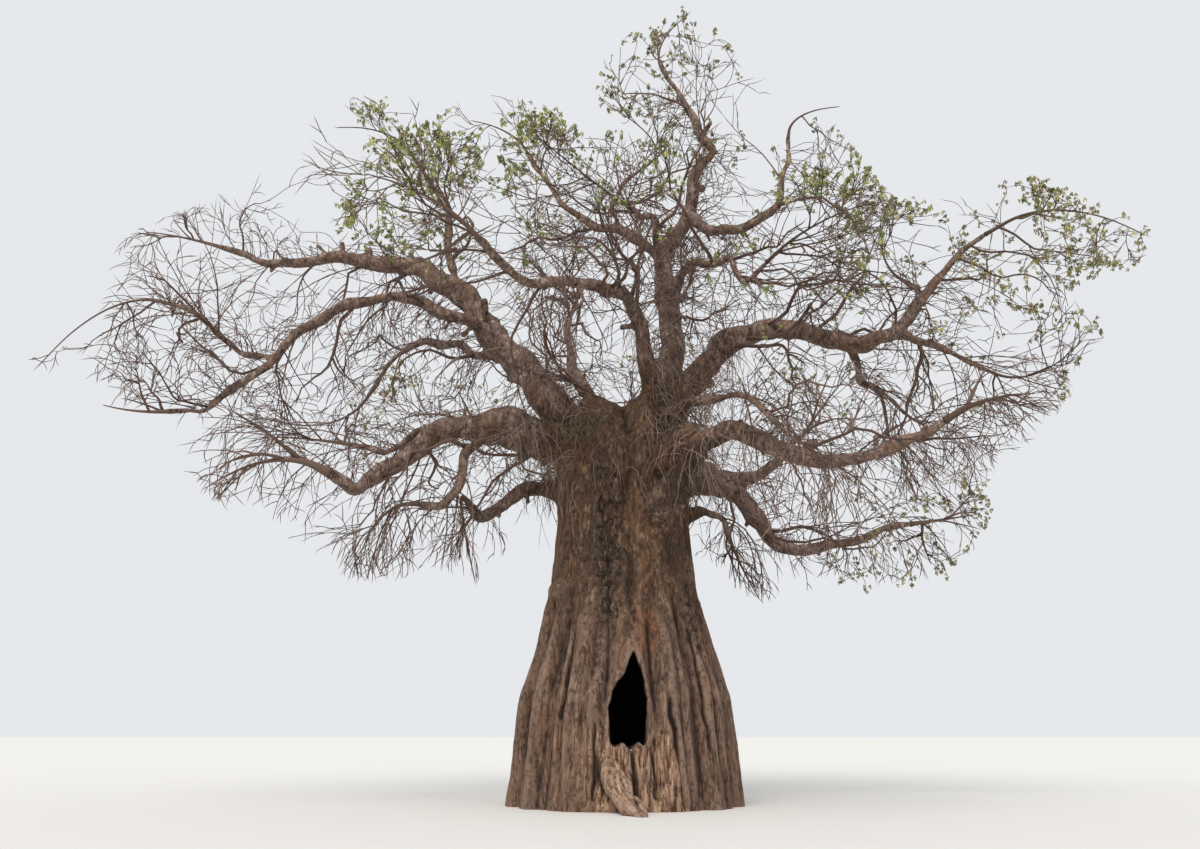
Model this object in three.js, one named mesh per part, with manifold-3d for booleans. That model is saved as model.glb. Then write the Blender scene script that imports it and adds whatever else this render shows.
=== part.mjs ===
// A baobab tree with a hollow trunk, a doorway in it and a nearly bare crown.
// The origin is on the ground in the middle of the trunk. +Z is up and the doorway faces -Y.
// Sizes and places below are in metres, and the finished meshes are in millimetres.
import * as THREE from "three";
import { mergeVertices } from "three/addons/utils/BufferGeometryUtils.js";
import Module from "manifold-3d";

const wasm = await Module();
wasm.setup();

const MILLIMETRES = 1000;
const GAP = 0.0003;
const BLOCK = 12;
const STEEP = 0.9;
const GOLDEN_ANGLE = Math.PI * (3 - Math.sqrt(5));
const GOLDEN_PART = (Math.sqrt(5) - 1) / 2;

// Trunk: half its width at each height, and where its axis stands
const TRUNK_PROFILE = [
  [0, 2.86],
  [0.7, 2.76],
  [1.5, 2.68],
  [2.4, 2.6],
  [3.1, 2.38],
  [3.8, 2.14],
  [4.8, 1.87],
  [5.8, 1.74],
  [6.9, 1.69],
  [7.9, 1.74],
  [8.7, 1.72],
  [9.3, 1.42],
  [9.8, 0.95],
];
const TRUNK_TOP = TRUNK_PROFILE.at(-1)[0];
const TRUNK_AXIS = { x: 0.08, y: 0 };
const TRUNK_DEPTH = 0.93;
const TRUNK_SIDES = 56;
const TRUNK_STEP = 0.98;

// Folds that run down the foot of the trunk, and the one broad groove down its front
const FOLDS = { count: 14, deep: 0.21, shallow: 0.05, low: 2.6, high: 5.6 };
const FOLD_DRIFT = [
  { size: 0.7, waves: 2, start: 0.4 },
  { size: 0.5, waves: 5, start: 0 },
];
const GROOVE = { angle: -1.5, width: 0.16, depth: 0.16, low: 3.4, high: 4.6 };

// Hollow inside the trunk and the pointed doorway into it
const HOLLOW = {
  x: 0.12,
  y: -0.35,
  floor: 1.32,
  middle: 2.5,
  wide: 1.05,
  deep: 1.35,
  tall: 1.75,
  sides: 12,
  levels: 8,
};
// The doorway's outline, as places across and up, from its sill round by its right side
const DOOR = {
  outline: [
    [-0.22, 1.39], [-0.09, 1.35], [0.19, 1.29], [0.47, 1.33], [0.54, 1.79], [0.54, 2.47],
    [0.44, 2.98], [0.29, 3.35], [0.03, 2.88], [-0.28, 2.53], [-0.31, 2.28],
  ],
  back: -1,
  deep: 2.2,
};
const SPUR = {
  path: [
    [-0.3, -2.0, 1.5],
    [-0.2, -2.55, 0.8],
    [0.05, -3.05, 0.3],
    [0.42, -3.6, -0.02],
  ],
  thick: [0.3, 0.12],
  sides: 6,
};

// Limbs. A limb that leaves the trunk has the point inside the trunk where it starts, and one that
// leaves a limb has how far along that limb it starts. `thick` is its radius at its root and its tip.
const LIMBS = [
  {
    name: "bough_left_low",
    on: "trunk",
    from: [-0.7, -0.2, 8.0],
    thick: [0.46, 0.15],
    elbows: [
      [-1.6, -0.6, 8.7], [-2.9, -1.1, 8.95], [-4.4, -1.6, 8.6], [-5.6, -2.0, 7.6],
      [-6.2, -2.15, 7.05], [-6.8, -2.3, 7.4],
    ],
  },
  {
    name: "limb_left_drooping",
    on: "bough_left_low",
    at: 0.37,
    thick: [0.13, 0.08],
    elbows: [[-3.75, -1.75, 8.0], [-3.85, -2.0, 7.1], [-4.2, -2.1, 6.7], [-4.7, -2.2, 6.7]],
  },
  {
    name: "limb_left_middle",
    on: "bough_left_low",
    at: 0.48,
    thick: [0.14, 0.06],
    elbows: [[-4.9, -1.0, 8.85], [-5.9, -0.6, 8.4], [-6.9, -0.2, 8.7]],
  },
  {
    name: "bough_left_high",
    on: "trunk",
    from: [-0.5, 0.1, 8.6],
    thick: [0.5, 0.08],
    elbows: [
      [-1.9, 0, 10.0], [-3.2, 0.3, 11.7], [-4.6, 0.8, 13.5], [-5.5, 1.0, 14.2], [-8.1, 1.5, 14.9],
      [-10.4, 1.7, 14.8], [-11.7, 1.9, 15.4],
    ],
  },
  {
    name: "bough_left_arch",
    outer: "bough_left_arch_outer",
    splitAt: 0.42,
    on: "bough_left_high",
    at: 0.26,
    thick: [0.2, 0.07],
    elbows: [
      [-4.0, -0.1, 12.2], [-5.5, -0.6, 12.6], [-7.2, -1.3, 12.1], [-8.3, -1.8, 10.9],
      [-9.0, -2.0, 9.9], [-10.0, -2.2, 9.0], [-10.7, -2.4, 8.9],
    ],
  },
  {
    name: "limb_left_tip",
    on: "bough_left_arch",
    at: 0.71,
    thick: [0.09, 0.055],
    elbows: [[-9.4, -1.85, 10.6], [-10.3, -1.75, 11.4], [-11.3, -1.6, 12.0]],
  },
  {
    name: "limb_left_back",
    on: "bough_left_high",
    at: 0.23,
    thick: [0.16, 0.07],
    elbows: [
      [-3.6, 1.0, 11.6], [-4.6, 1.5, 12.2], [-5.5, 2.0, 12.4], [-6.5, 2.6, 12.2], [-7.2, 3.2, 11.5],
    ],
  },
  {
    name: "limb_upper_left",
    on: "bough_left_high",
    at: 0.41,
    thick: [0.15, 0.06],
    elbows: [[-4.85, 1.0, 14.9], [-5.0, 1.3, 16.4], [-5.6, 1.5, 17.3], [-6.1, 1.6, 18.2]],
  },
  {
    name: "bough_left_stub",
    on: "trunk",
    from: [-0.9, 0.2, 7.5],
    thick: [0.23, 0.11],
    elbows: [[-2.3, 0.2, 7.6], [-3.1, 0.2, 7.15], [-3.6, 0.2, 6.9], [-3.85, 0.2, 7.2]],
  },
  {
    name: "bough_middle",
    on: "trunk",
    from: [-0.35, 0.7, 8.8],
    thick: [0.24, 0.08],
    elbows: [[-0.7, 1.5, 10.3], [-1.3, 2.2, 11.7], [-1.5, 2.7, 13.1], [-1.3, 3.0, 13.9]],
  },
  {
    name: "bough_main",
    on: "trunk",
    from: [0.95, 0.3, 8.8],
    thick: [0.42, 0.07],
    elbows: [
      [1.3, 0.6, 10.2], [1.4, 0.8, 13.2], [1.35, 0.9, 14.5], [2.1, 0.8, 16.2], [2.2, 0.7, 17.0],
      [2.85, 0.6, 17.9], [2.4, 0.6, 18.6], [2.1, 0.6, 19.3], [1.5, 0.5, 20.3],
    ],
  },
  {
    name: "limb_top_right",
    on: "bough_main",
    at: 0.6,
    thick: [0.17, 0.06],
    elbows: [
      [2.25, 0.2, 15.3], [2.6, 0.0, 14.95], [3.4, -0.1, 15.0], [4.4, -0.3, 15.7], [4.8, -0.4, 16.9],
      [4.8, -0.4, 17.6],
    ],
  },
  {
    name: "limb_top_left",
    on: "bough_main",
    at: 0.46,
    thick: [0.18, 0.06],
    elbows: [
      [0.6, 1.2, 15.3], [-0.9, 1.8, 16.2], [-1.8, 2.05, 17.2], [-2.4, 2.2, 18.2], [-2.7, 2.3, 18.8],
    ],
  },
  {
    name: "limb_top_middle",
    on: "limb_top_left",
    at: 0.3,
    thick: [0.09, 0.05],
    elbows: [[-0.1, 1.3, 16.4], [0.2, 1.2, 17.1], [0.8, 1.1, 17.6]],
  },
  {
    name: "bough_front_left",
    on: "trunk",
    from: [0.5, -0.4, 8.8],
    thick: [0.25, 0.08],
    elbows: [
      [0.7, -0.7, 10.0], [0.6, -1.5, 11.4], [0.1, -2.4, 11.95], [-1.2, -3.6, 11.7],
      [-2.1, -4.3, 11.4], [-3.1, -5.3, 11.9],
    ],
  },
  {
    name: "limb_centre_loop",
    on: "bough_main",
    at: 0.36,
    thick: [0.13, 0.06],
    elbows: [[1.95, -0.6, 13.65], [2.8, -2.0, 13.1], [3.1, -2.6, 12.2], [3.5, -3.2, 12.4]],
  },
  {
    name: "limb_front_upper",
    on: "bough_main",
    at: 0.43,
    thick: [0.11, 0.055],
    elbows: [[1.0, -0.7, 14.9], [0.3, -2.2, 14.4]],
  },
  {
    name: "limb_back_upper",
    on: "bough_main",
    at: 0.33,
    thick: [0.14, 0.06],
    elbows: [[1.8, 2.3, 13.9], [2.2, 3.9, 14.7]],
  },
  {
    name: "bough_right_high",
    on: "trunk",
    from: [1.0, 0.1, 9.0],
    thick: [0.42, 0.065],
    elbows: [
      [2.0, 0.15, 10.6], [3.0, 0.2, 11.7], [4.1, 0.2, 12.1], [5.3, 0.05, 11.9], [6.3, -0.2, 11.4],
      [7.3, -0.6, 11.75], [8.5, -1.0, 13.1], [9.6, -1.4, 14.1],
    ],
  },
  {
    name: "limb_right_level",
    on: "bough_right_high",
    at: 0.69,
    thick: [0.12, 0.06],
    elbows: [[8.3, -0.3, 11.4], [9.1, -0.2, 11.0], [9.6, -0.2, 10.8]],
  },
  {
    name: "limb_right_back",
    on: "bough_right_high",
    at: 0.56,
    thick: [0.11, 0.055],
    elbows: [[6.6, 0.8, 10.8], [7.5, 1.5, 10.6], [8.1, 2.0, 10.3]],
  },
  {
    name: "spur_right_upper",
    spur: true,
    on: "bough_right_high",
    at: 0.8,
    thick: [0.09, 0.06],
    elbows: [[7.75, -0.5, 13.1]],
  },
  {
    name: "bough_right_middle",
    on: "trunk",
    from: [0.7, -0.75, 6.2],
    thick: [0.36, 0.11],
    elbows: [
      [0.95, -1.75, 6.9], [1.8, -2.7, 8.0], [2.5, -3.1, 8.2], [3.8, -3.6, 7.45], [4.7, -3.8, 7.3],
      [6.2, -4.0, 7.7], [7.0, -4.2, 8.1],
    ],
  },
  {
    name: "limb_front_right",
    on: "trunk",
    from: [0.9, -0.5, 8.8],
    thick: [0.15, 0.06],
    elbows: [[1.7, -1.5, 9.45], [2.6, -2.9, 9.2], [3.0, -3.8, 8.6], [3.3, -4.6, 7.9]],
  },
  {
    name: "bough_right_low",
    on: "trunk",
    from: [0.9, 0.35, 7.3],
    thick: [0.28, 0.09],
    elbows: [
      [1.9, 0.65, 7.85], [2.7, 1.0, 8.0], [3.4, 1.3, 7.6], [4.3, 1.7, 6.45], [4.9, 1.9, 6.3],
      [6.7, 2.3, 6.8], [8.2, 2.6, 7.2],
    ],
  },
  {
    name: "limb_right_stub",
    on: "trunk",
    from: [1.1, 0.05, 6.9],
    thick: [0.13, 0.06],
    elbows: [[2.0, 0.15, 7.1], [2.6, 0.3, 6.9], [2.85, 0.4, 6.3]],
  },
  {
    name: "bough_back_left",
    on: "trunk",
    from: [-0.6, 0.6, 8.2],
    thick: [0.34, 0.09],
    elbows: [[-1.9, 2.2, 9.1], [-3.0, 3.8, 9.9], [-4.0, 5.4, 10.5], [-5.0, 6.6, 11.4]],
  },
  {
    name: "bough_back",
    on: "trunk",
    from: [0.2, 0.8, 8.4],
    thick: [0.36, 0.09],
    elbows: [[0.5, 2.4, 9.4], [0.9, 4.2, 9.9], [0.9, 5.8, 10.7], [0.6, 7.0, 11.8]],
  },
  {
    name: "bough_back_right",
    on: "trunk",
    from: [0.9, 0.7, 8.0],
    thick: [0.32, 0.09],
    elbows: [[2.3, 2.2, 8.7], [3.8, 3.9, 8.9], [5.0, 5.2, 9.7], [5.9, 6.0, 10.7]],
  },
];
const ROOT_FLARE = { trunk: 0.6, limb: 0.3, run: 1.8 };
const CROOK = 0.06;
const RING_STEP = { thick: 0.85, thin: 0.8 };
const LIMB_SIDES = { thick: 7, thin: 5 };
const THICK_LIMB = 0.2;
const ROOT_STRETCH = 0.6;
const CLEARANCE = 0.06;

// Masses of twigs. Each grows from the tip of its limb, inside an egg-shaped space of its own. A row has
// its name, its limb, the middle of its space, half the size of that space, where its stem runs to, how
// its twigs lift (down where it is less than 0), and how many of them end in a spray of leaves.
const MASS_ROWS = [
  ["twigs_left_tip", "limb_left_tip", [-12.7, -1.4, 10.9], [2.4, 1.9, 1.4], [-15.0, -1.0, 10.4], -0.05, 0],
  ["twigs_left_low_tip", "bough_left_arch", [-10.6, -2.7, 8.9], [1.8, 1.9, 1.4], [-12.1, -2.9, 8.9],
    -0.25, 0],
  ["twigs_left_edge", "bough_left_high", [-11.8, 1.8, 15.2], [2.5, 2.4, 1.8], [-14.2, 2.0, 16.0], 0.05, 0],
  ["twigs_left_back", "limb_left_back", [-8.6, 3.9, 11.4], [2.6, 2.3, 2.3], [-10.9, 4.6, 10.9], -0.15, 0],
  ["twigs_upper_left", "limb_upper_left", [-7.3, 1.6, 17.4], [2.8, 2.6, 2.5], [-8.7, 1.7, 19.4], 0.15, 4],
  ["twigs_left_low", "bough_left_low", [-7.8, -2.4, 7.4], [2.0, 2.1, 2.0], [-9.5, -2.7, 7.0], -0.3, 0],
  ["twigs_left_hanging", "limb_left_drooping", [-5.0, -2.4, 6.3], [1.6, 1.6, 1.3], [-5.9, -2.6, 5.5],
    -0.35, 0],
  ["twigs_left_middle", "limb_left_middle", [-8.0, 0.4, 9.2], [2.1, 1.9, 1.9], [-9.7, 0.8, 9.2], -0.05, 0],
  ["twigs_left_stub", "bough_left_stub", [-3.3, 0.2, 6.3], [1.5, 1.5, 1.3], [-3.6, 0.1, 5.1], -0.4, 0],
  ["twigs_middle", "bough_middle", [-1.8, 3.5, 14.7], [2.1, 2.1, 1.9], [-2.2, 3.8, 16.3], 0.1, 0],
  ["twigs_front_left", "bough_front_left", [-3.7, -5.7, 12.3], [2.2, 2.3, 1.5], [-5.5, -6.4, 12.9], 0.1, 9],
  ["twigs_top_left", "limb_top_left", [-3.4, 2.2, 18.4], [2.5, 2.3, 1.9], [-4.6, 2.2, 20.0], 0.15, 5],
  ["twigs_top_middle", "limb_top_middle", [0.1, 1.2, 18.3], [1.7, 1.8, 1.8], [-0.3, 1.2, 19.9], 0.15, 4],
  ["twigs_top", "bough_main", [2.6, 0.5, 20.25], [2.6, 2.6, 2.15], [2.3, 0.5, 22.7], 0.2, 9],
  ["twigs_top_right", "limb_top_right", [5.6, -0.4, 16.9], [2.3, 2.3, 1.9], [6.4, -0.4, 18.7], 0.15, 7],
  ["twigs_front_upper", "limb_front_upper", [-0.8, -3.6, 14.3], [2.0, 2.1, 1.5], [-2.2, -5.1, 14.9], 0.1, 3],
  ["twigs_back_upper", "limb_back_upper", [2.4, 5.2, 15.6], [2.6, 2.4, 2.3], [2.5, 6.8, 17.3], 0.15, 3],
  ["twigs_centre", "limb_centre_loop", [4.3, -3.7, 12.7], [1.9, 1.9, 1.6], [5.8, -4.3, 13.4], 0, 2],
  ["twigs_right_tip", "bough_right_high", [11.2, -1.5, 13.9], [2.75, 2.2, 1.45], [13.9, -1.5, 13.95],
    0.1, 10],
  ["twigs_right_upper", "spur_right_upper", [7.7, -0.4, 14.0], [1.9, 2.0, 1.6], [7.3, -0.3, 15.4], 0.1, 5],
  ["twigs_right_level", "limb_right_level", [10.3, -0.1, 11.4], [2.3, 2.1, 1.7], [12.4, 0, 11.6], 0.05, 3],
  ["twigs_right_back", "limb_right_back", [8.8, 2.9, 10.4], [2.1, 2.0, 1.8], [10.4, 3.7, 10.2], -0.1, 0],
  ["twigs_right_middle", "bough_right_middle", [7.4, -4.5, 8.2], [1.7, 1.9, 1.5], [8.8, -4.9, 8.5], -0.1, 0],
  ["twigs_front_right", "limb_front_right", [3.8, -5.3, 7.4], [1.5, 1.6, 1.3], [4.3, -6.3, 6.5], -0.35, 0],
  ["twigs_right_low", "bough_right_low", [8.5, 2.8, 7.2], [2.2, 2.1, 1.8], [10.3, 3.2, 7.6], -0.05, 4],
  ["twigs_right_stub", "limb_right_stub", [3.1, 0.6, 5.9], [1.4, 1.4, 1.2], [3.6, 0.9, 4.9], -0.4, 0],
  ["twigs_back_left", "bough_back_left", [-6.0, 7.6, 11.8], [2.9, 2.7, 2.3], [-7.9, 9.2, 12.3], 0, 2],
  ["twigs_back", "bough_back", [0.6, 8.3, 12.4], [3.0, 2.7, 2.4], [0.4, 10.7, 13.1], 0.05, 2],
  ["twigs_back_right", "bough_back_right", [6.7, 7.0, 11.4], [2.8, 2.6, 2.3], [8.6, 8.5, 12.1], 0, 2],
];
const MASSES = MASS_ROWS.map(([name, limb, middle, half, end, lift, leaves]) => {
  return { name, limb, middle, half, end, lift, leaves };
});

// The rule by which twigs branch, level by level
const STEM = { steps: 4, sides: 4, tip: 0.012, bow: 0.5 };
const LIMBLETS_PER_METRE = 0.9;
const LIMBLETS = {
  from: 0.06, to: 0.92, angle: 1.15, reach: 0.92, most: 3.4, thin: 0.62, steps: 2, sides: 3,
};
const TWIGS_EACH = 2;
const TWIGS = { from: 0.25, to: 0.95, angle: 0.85, reach: 0.8, most: 1.5, thin: 0.7, steps: 1, sides: 3 };
const CROOKED = 0.3;
const ANGLE_SPREAD = [0.75, 1.25];
const LENGTH_SPREAD = [0.7, 1.2];
const SHORTER = [1, 0.72, 0.48];
const SPACE_MARGIN = 0.05;
// Which draw of a seed settles which thing
const DRAWS = { angle: 1, length: 2, stem: 7, sway: 20, leaf: 40, place: 900, turn: 901 };
const LEAST_TWIG = 0.25;
const TWIG_TIP = 0.25;

// A leaf solid stands for a spray of leaves
const LEAF = { long: 0.62, wide: 0.3, thick: 0.035, sink: 0.1, widest: 0.5, skin: 1.35 };

const BARK = new THREE.MeshStandardMaterial({ color: 0x7d6a5e, roughness: 0.95, metalness: 0 });
const BOUGH_BARK = new THREE.MeshStandardMaterial({ color: 0x75645a, roughness: 0.95, metalness: 0 });
const BARE_TWIGS = new THREE.MeshStandardMaterial({ color: 0x6b5c54, roughness: 0.9, metalness: 0 });
const LEAFY_TWIGS = new THREE.MeshStandardMaterial({ color: 0x76864f, roughness: 0.8, metalness: 0 });

const vector = (point) => new THREE.Vector3(...point);
const mix = (a, b, part) => a + (b - a) * part;

function smoothStep(low, high, value) {
  const part = Math.min(1, Math.max(0, (value - low) / (high - low)));
  return part * part * (3 - 2 * part);
}

// A number made from a seed and an index, spread evenly over 32 bits
function mixedSeed(seed, index) {
  let bits = (seed ^ Math.imul(index + 1, 0x9e3779b1)) >>> 0;
  bits = Math.imul(bits ^ (bits >>> 16), 0x85ebca6b) >>> 0;
  bits = Math.imul(bits ^ (bits >>> 13), 0xc2b2ae35) >>> 0;
  return (bits ^ (bits >>> 16)) >>> 0;
}

const chance = (seed, index) => mixedSeed(seed, index) / 2 ** 32;

// A closed mesh in millimetres as a solid that can be joined and cut
function solidFrom(geometry) {
  const bare = new THREE.BufferGeometry();
  bare.setAttribute("position", geometry.getAttribute("position"));
  bare.setIndex(geometry.index);
  const merged = mergeVertices(bare);
  const mesh = new wasm.Mesh({
    numProp: 3,
    vertProperties: merged.attributes.position.array,
    triVerts: new Uint32Array(merged.index.array),
  });
  return new wasm.Manifold(mesh);
}

// The largest body of a solid, which leaves out loose scraps and fills sealed hollows
function largestBody(solid) {
  return solid.decompose().reduce((best, body) => (body.volume() > best.volume() ? body : best));
}

function geometryFrom(solid) {
  const mesh = solid.getMesh();
  const positions = new Float32Array(mesh.numVert * 3);
  for (let i = 0; i < mesh.numVert; i++) {
    positions.set(mesh.vertProperties.subarray(i * mesh.numProp, i * mesh.numProp + 3), i * 3);
  }
  const geometry = new THREE.BufferGeometry();
  geometry.setAttribute("position", new THREE.BufferAttribute(positions, 3));
  geometry.setIndex(new THREE.BufferAttribute(mesh.triVerts, 1));
  return geometry;
}

function geometryFromPoints(points, triangles) {
  const positions = new Float32Array(points.flatMap((p) => [p.x, p.y, p.z]));
  const geometry = new THREE.BufferGeometry();
  geometry.setAttribute("position", new THREE.BufferAttribute(positions.map((v) => v * MILLIMETRES), 3));
  geometry.setIndex(triangles);
  return geometry;
}

// The direction of a run of points at each of them
function directionsAlong(points) {
  const last = points.length - 1;
  const steps = points.slice(1).map((p, i) => p.clone().sub(points[i]).normalize());
  return points.map((_, i) => {
    const before = steps[Math.max(i - 1, 0)];
    const after = steps[Math.min(i, last - 1)];
    return before.clone().add(after).normalize();
  });
}

// Some direction square to the one given
function squareTo(direction) {
  const up = Math.abs(direction.z) > STEEP ? new THREE.Vector3(1, 0, 0) : new THREE.Vector3(0, 0, 1);
  return direction.clone().cross(up).normalize();
}

// A closed tube through rings of { point, direction, radius }. A radius of 0 at the end is a point.
function tube(rings, sides) {
  const points = [];
  const triangles = [];
  let normal = squareTo(rings[0].direction);
  for (const { point, direction, radius } of rings) {
    normal = normal.clone().addScaledVector(direction, -normal.dot(direction)).normalize();
    const across = direction.clone().cross(normal);
    if (radius === 0) {
      points.push(point);
      continue;
    }
    for (let side = 0; side < sides; side++) {
      const angle = (2 * Math.PI * side) / sides;
      const out = normal.clone().multiplyScalar(Math.cos(angle)).addScaledVector(across, Math.sin(angle));
      points.push(point.clone().addScaledVector(out, radius));
    }
  }
  const pointed = rings.at(-1).radius === 0;
  const whole = pointed ? rings.length - 1 : rings.length;
  for (let side = 0; side < sides; side++) {
    const next = (side + 1) % sides;
    for (let ring = 0; ring < whole - 1; ring++) {
      const here = ring * sides;
      const there = here + sides;
      triangles.push(here + side, here + next, there + next, here + side, there + next, there + side);
    }
    const end = (whole - 1) * sides;
    if (pointed) triangles.push(end + side, end + next, whole * sides);
    if (side > 0 && side < sides - 1) {
      triangles.push(0, next, side);
      if (!pointed) triangles.push(end, end + side, end + next);
    }
  }
  return geometryFromPoints(points, triangles);
}

// Trunk

function trunkHalfWidth(height) {
  const upper = TRUNK_PROFILE.findIndex(([level]) => level >= height);
  if (upper < 0) return TRUNK_PROFILE.at(-1)[1];
  if (upper === 0) return TRUNK_PROFILE[0][1];
  const [lowLevel, lowWidth] = TRUNK_PROFILE[upper - 1];
  const [highLevel, highWidth] = TRUNK_PROFILE[upper];
  return mix(lowWidth, highWidth, (height - lowLevel) / (highLevel - lowLevel));
}

// How far the trunk's surface is from its axis, toward an angle measured from +X
function trunkRadius(angle, height) {
  const depth = mix(FOLDS.deep, FOLDS.shallow, smoothStep(FOLDS.low, FOLDS.high, height));
  const drifts = FOLD_DRIFT.map(({ size, waves, start }) => size * Math.sin(waves * angle + start));
  const wave = drifts.reduce((sum, drift) => sum + drift, FOLDS.count * angle);
  const fold = depth * (1 - Math.abs(Math.sin(wave / 2)));
  const away = (angle - GROOVE.angle) / GROOVE.width;
  const groove = GROOVE.depth * Math.exp(-away * away) * smoothStep(GROOVE.low, GROOVE.high, height);
  return trunkHalfWidth(height) - fold - groove;
}

function trunkPoint(angle, height) {
  const radius = trunkRadius(angle, height);
  const x = TRUNK_AXIS.x + radius * Math.cos(angle);
  const y = TRUNK_AXIS.y + radius * Math.sin(angle) * TRUNK_DEPTH;
  return new THREE.Vector3(x, y, height);
}

function insideTrunk(point, margin) {
  if (point.z > TRUNK_TOP + margin) return false;
  const x = point.x - TRUNK_AXIS.x;
  const y = (point.y - TRUNK_AXIS.y) / TRUNK_DEPTH;
  const height = Math.min(Math.max(point.z, 0), TRUNK_TOP);
  return Math.hypot(x, y) < trunkHalfWidth(height) + margin;
}

function trunkBody() {
  const levels = Math.round(TRUNK_TOP / TRUNK_STEP);
  const points = [];
  const triangles = [];
  for (let level = 0; level <= levels; level++) {
    for (let side = 0; side < TRUNK_SIDES; side++) {
      points.push(trunkPoint((2 * Math.PI * side) / TRUNK_SIDES - Math.PI, (TRUNK_TOP * level) / levels));
    }
  }
  const foot = points.push(new THREE.Vector3(TRUNK_AXIS.x, TRUNK_AXIS.y, 0)) - 1;
  const crown = points.push(new THREE.Vector3(TRUNK_AXIS.x, TRUNK_AXIS.y, TRUNK_TOP)) - 1;
  for (let side = 0; side < TRUNK_SIDES; side++) {
    const next = (side + 1) % TRUNK_SIDES;
    for (let level = 0; level < levels; level++) {
      const here = level * TRUNK_SIDES;
      const there = here + TRUNK_SIDES;
      triangles.push(here + side, here + next, there + next, here + side, there + next, there + side);
    }
    const last = levels * TRUNK_SIDES;
    triangles.push(foot, next, side, crown, last + side, last + next);
  }
  return solidFrom(geometryFromPoints(points, triangles));
}

function placedSolid(geometry, x, y, z) {
  geometry.translate(x, y, z);
  geometry.scale(MILLIMETRES, MILLIMETRES, MILLIMETRES);
  return solidFrom(geometry);
}

// A block, larger than the foot of the trunk, whose top is at the height given
function blockUnder(height) {
  return placedSolid(new THREE.BoxGeometry(BLOCK, BLOCK, BLOCK), 0, 0, height - BLOCK / 2);
}

function hollowSolid() {
  const ball = new THREE.SphereGeometry(1, HOLLOW.sides, HOLLOW.levels);
  ball.rotateX(Math.PI / 2);
  ball.scale(HOLLOW.wide, HOLLOW.deep, HOLLOW.tall);
  return placedSolid(ball, HOLLOW.x, HOLLOW.y, HOLLOW.middle).subtract(blockUnder(HOLLOW.floor));
}

function doorwaySolid() {
  const outline = new THREE.Shape(DOOR.outline.map(([x, z]) => new THREE.Vector2(x, z)));
  const cutter = new THREE.ExtrudeGeometry(outline, { depth: DOOR.deep, bevelEnabled: false });
  cutter.rotateX(Math.PI / 2);
  return placedSolid(cutter, 0, DOOR.back, 0);
}

// Limbs

function limbRadius(limb, along) {
  const [root, tip] = limb.thick;
  const flare = limb.on === "trunk" ? ROOT_FLARE.trunk : ROOT_FLARE.limb;
  const swell = 1 + flare * Math.exp((-along * limb.length) / (ROOT_FLARE.run * root));
  return mix(root, tip, along) * swell;
}

function limbRings(limb) {
  const step = limb.thick[0] > THICK_LIMB ? RING_STEP.thick : RING_STEP.thin;
  const count = Math.max(2, Math.round(limb.length / step));
  return Array.from({ length: count + 1 }, (_, i) => ({
    point: limb.curve.getPointAt(i / count),
    direction: limb.curve.getTangentAt(i / count),
    radius: limbRadius(limb, i / count),
  }));
}

function distanceToRings(point, rings) {
  const line = new THREE.Line3();
  const near = new THREE.Vector3();
  let least = Infinity;
  for (let i = 1; i < rings.length; i++) {
    line.set(rings[i - 1].point, rings[i].point);
    const along = line.closestPointToPointParameter(point, true);
    line.at(along, near);
    const radius = mix(rings[i - 1].radius, rings[i].radius, along);
    least = Math.min(least, near.distanceTo(point) - radius);
  }
  return least;
}

// The first ring from which a limb stands clear of what it grows from, and of its neighbours there.
// Only the stretch near its root is looked at, because further out limbs may cross closely.
function firstClearRing(limb, limbs) {
  const others = limbs.filter((other) => other !== limb && (other.name === limb.on || other.on === limb.on));
  const touches = ({ point, radius }) =>
    (limb.on === "trunk" && insideTrunk(point, radius + CLEARANCE)) ||
    others.some((other) => distanceToRings(point, other.rings) < radius + CLEARANCE);
  const stretch = limb.rings.slice(0, Math.ceil(limb.rings.length * ROOT_STRETCH));
  return 1 + stretch.findLastIndex(touches);
}

// The elbows with one more point in the middle of each stretch, pushed a little to one side
function crookedPath(elbows, seed) {
  return elbows.flatMap((elbow, i) => {
    if (i === 0) return [elbow];
    const before = elbows[i - 1];
    const push = elbow.distanceTo(before) * CROOK;
    const side = [0, 1, 2].map((k) => (2 * chance(seed, 3 * i + k) - 1) * push);
    return [before.clone().lerp(elbow, 0.5).add(vector(side)), elbow];
  });
}

function growLimbs() {
  const limbs = [];
  for (const row of LIMBS) {
    const parent = limbs.find(({ name }) => name === row.on);
    const start = parent ? parent.curve.getPointAt(row.at) : vector(row.from);
    const path = crookedPath([start, ...row.elbows.map(vector)], limbs.length + 1);
    const curve = new THREE.CatmullRomCurve3(path, false, "centripetal");
    const limb = { ...row, curve, length: curve.getLength() };
    limb.sides = row.thick[0] > THICK_LIMB ? LIMB_SIDES.thick : LIMB_SIDES.thin;
    limb.rings = limbRings(limb);
    limbs.push(limb);
  }
  for (const limb of limbs) limb.cut = limb.spur ? limb.rings.length - 1 : firstClearRing(limb, limbs);
  return limbs;
}

// The same rings with the first one moved on by the gap that keeps two pieces apart
function partedRings(rings) {
  const [first, ...rest] = rings;
  return [{ ...first, point: first.point.clone().addScaledVector(first.direction, GAP) }, ...rest];
}

// A solid with the roots of the limbs that grow from it
function withCollars(solid, children) {
  const collars = children.map((child) => tube(child.rings.slice(0, child.cut + 1), child.sides));
  return collars.reduce((whole, collar) => whole.add(solidFrom(collar)), solid);
}

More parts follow.
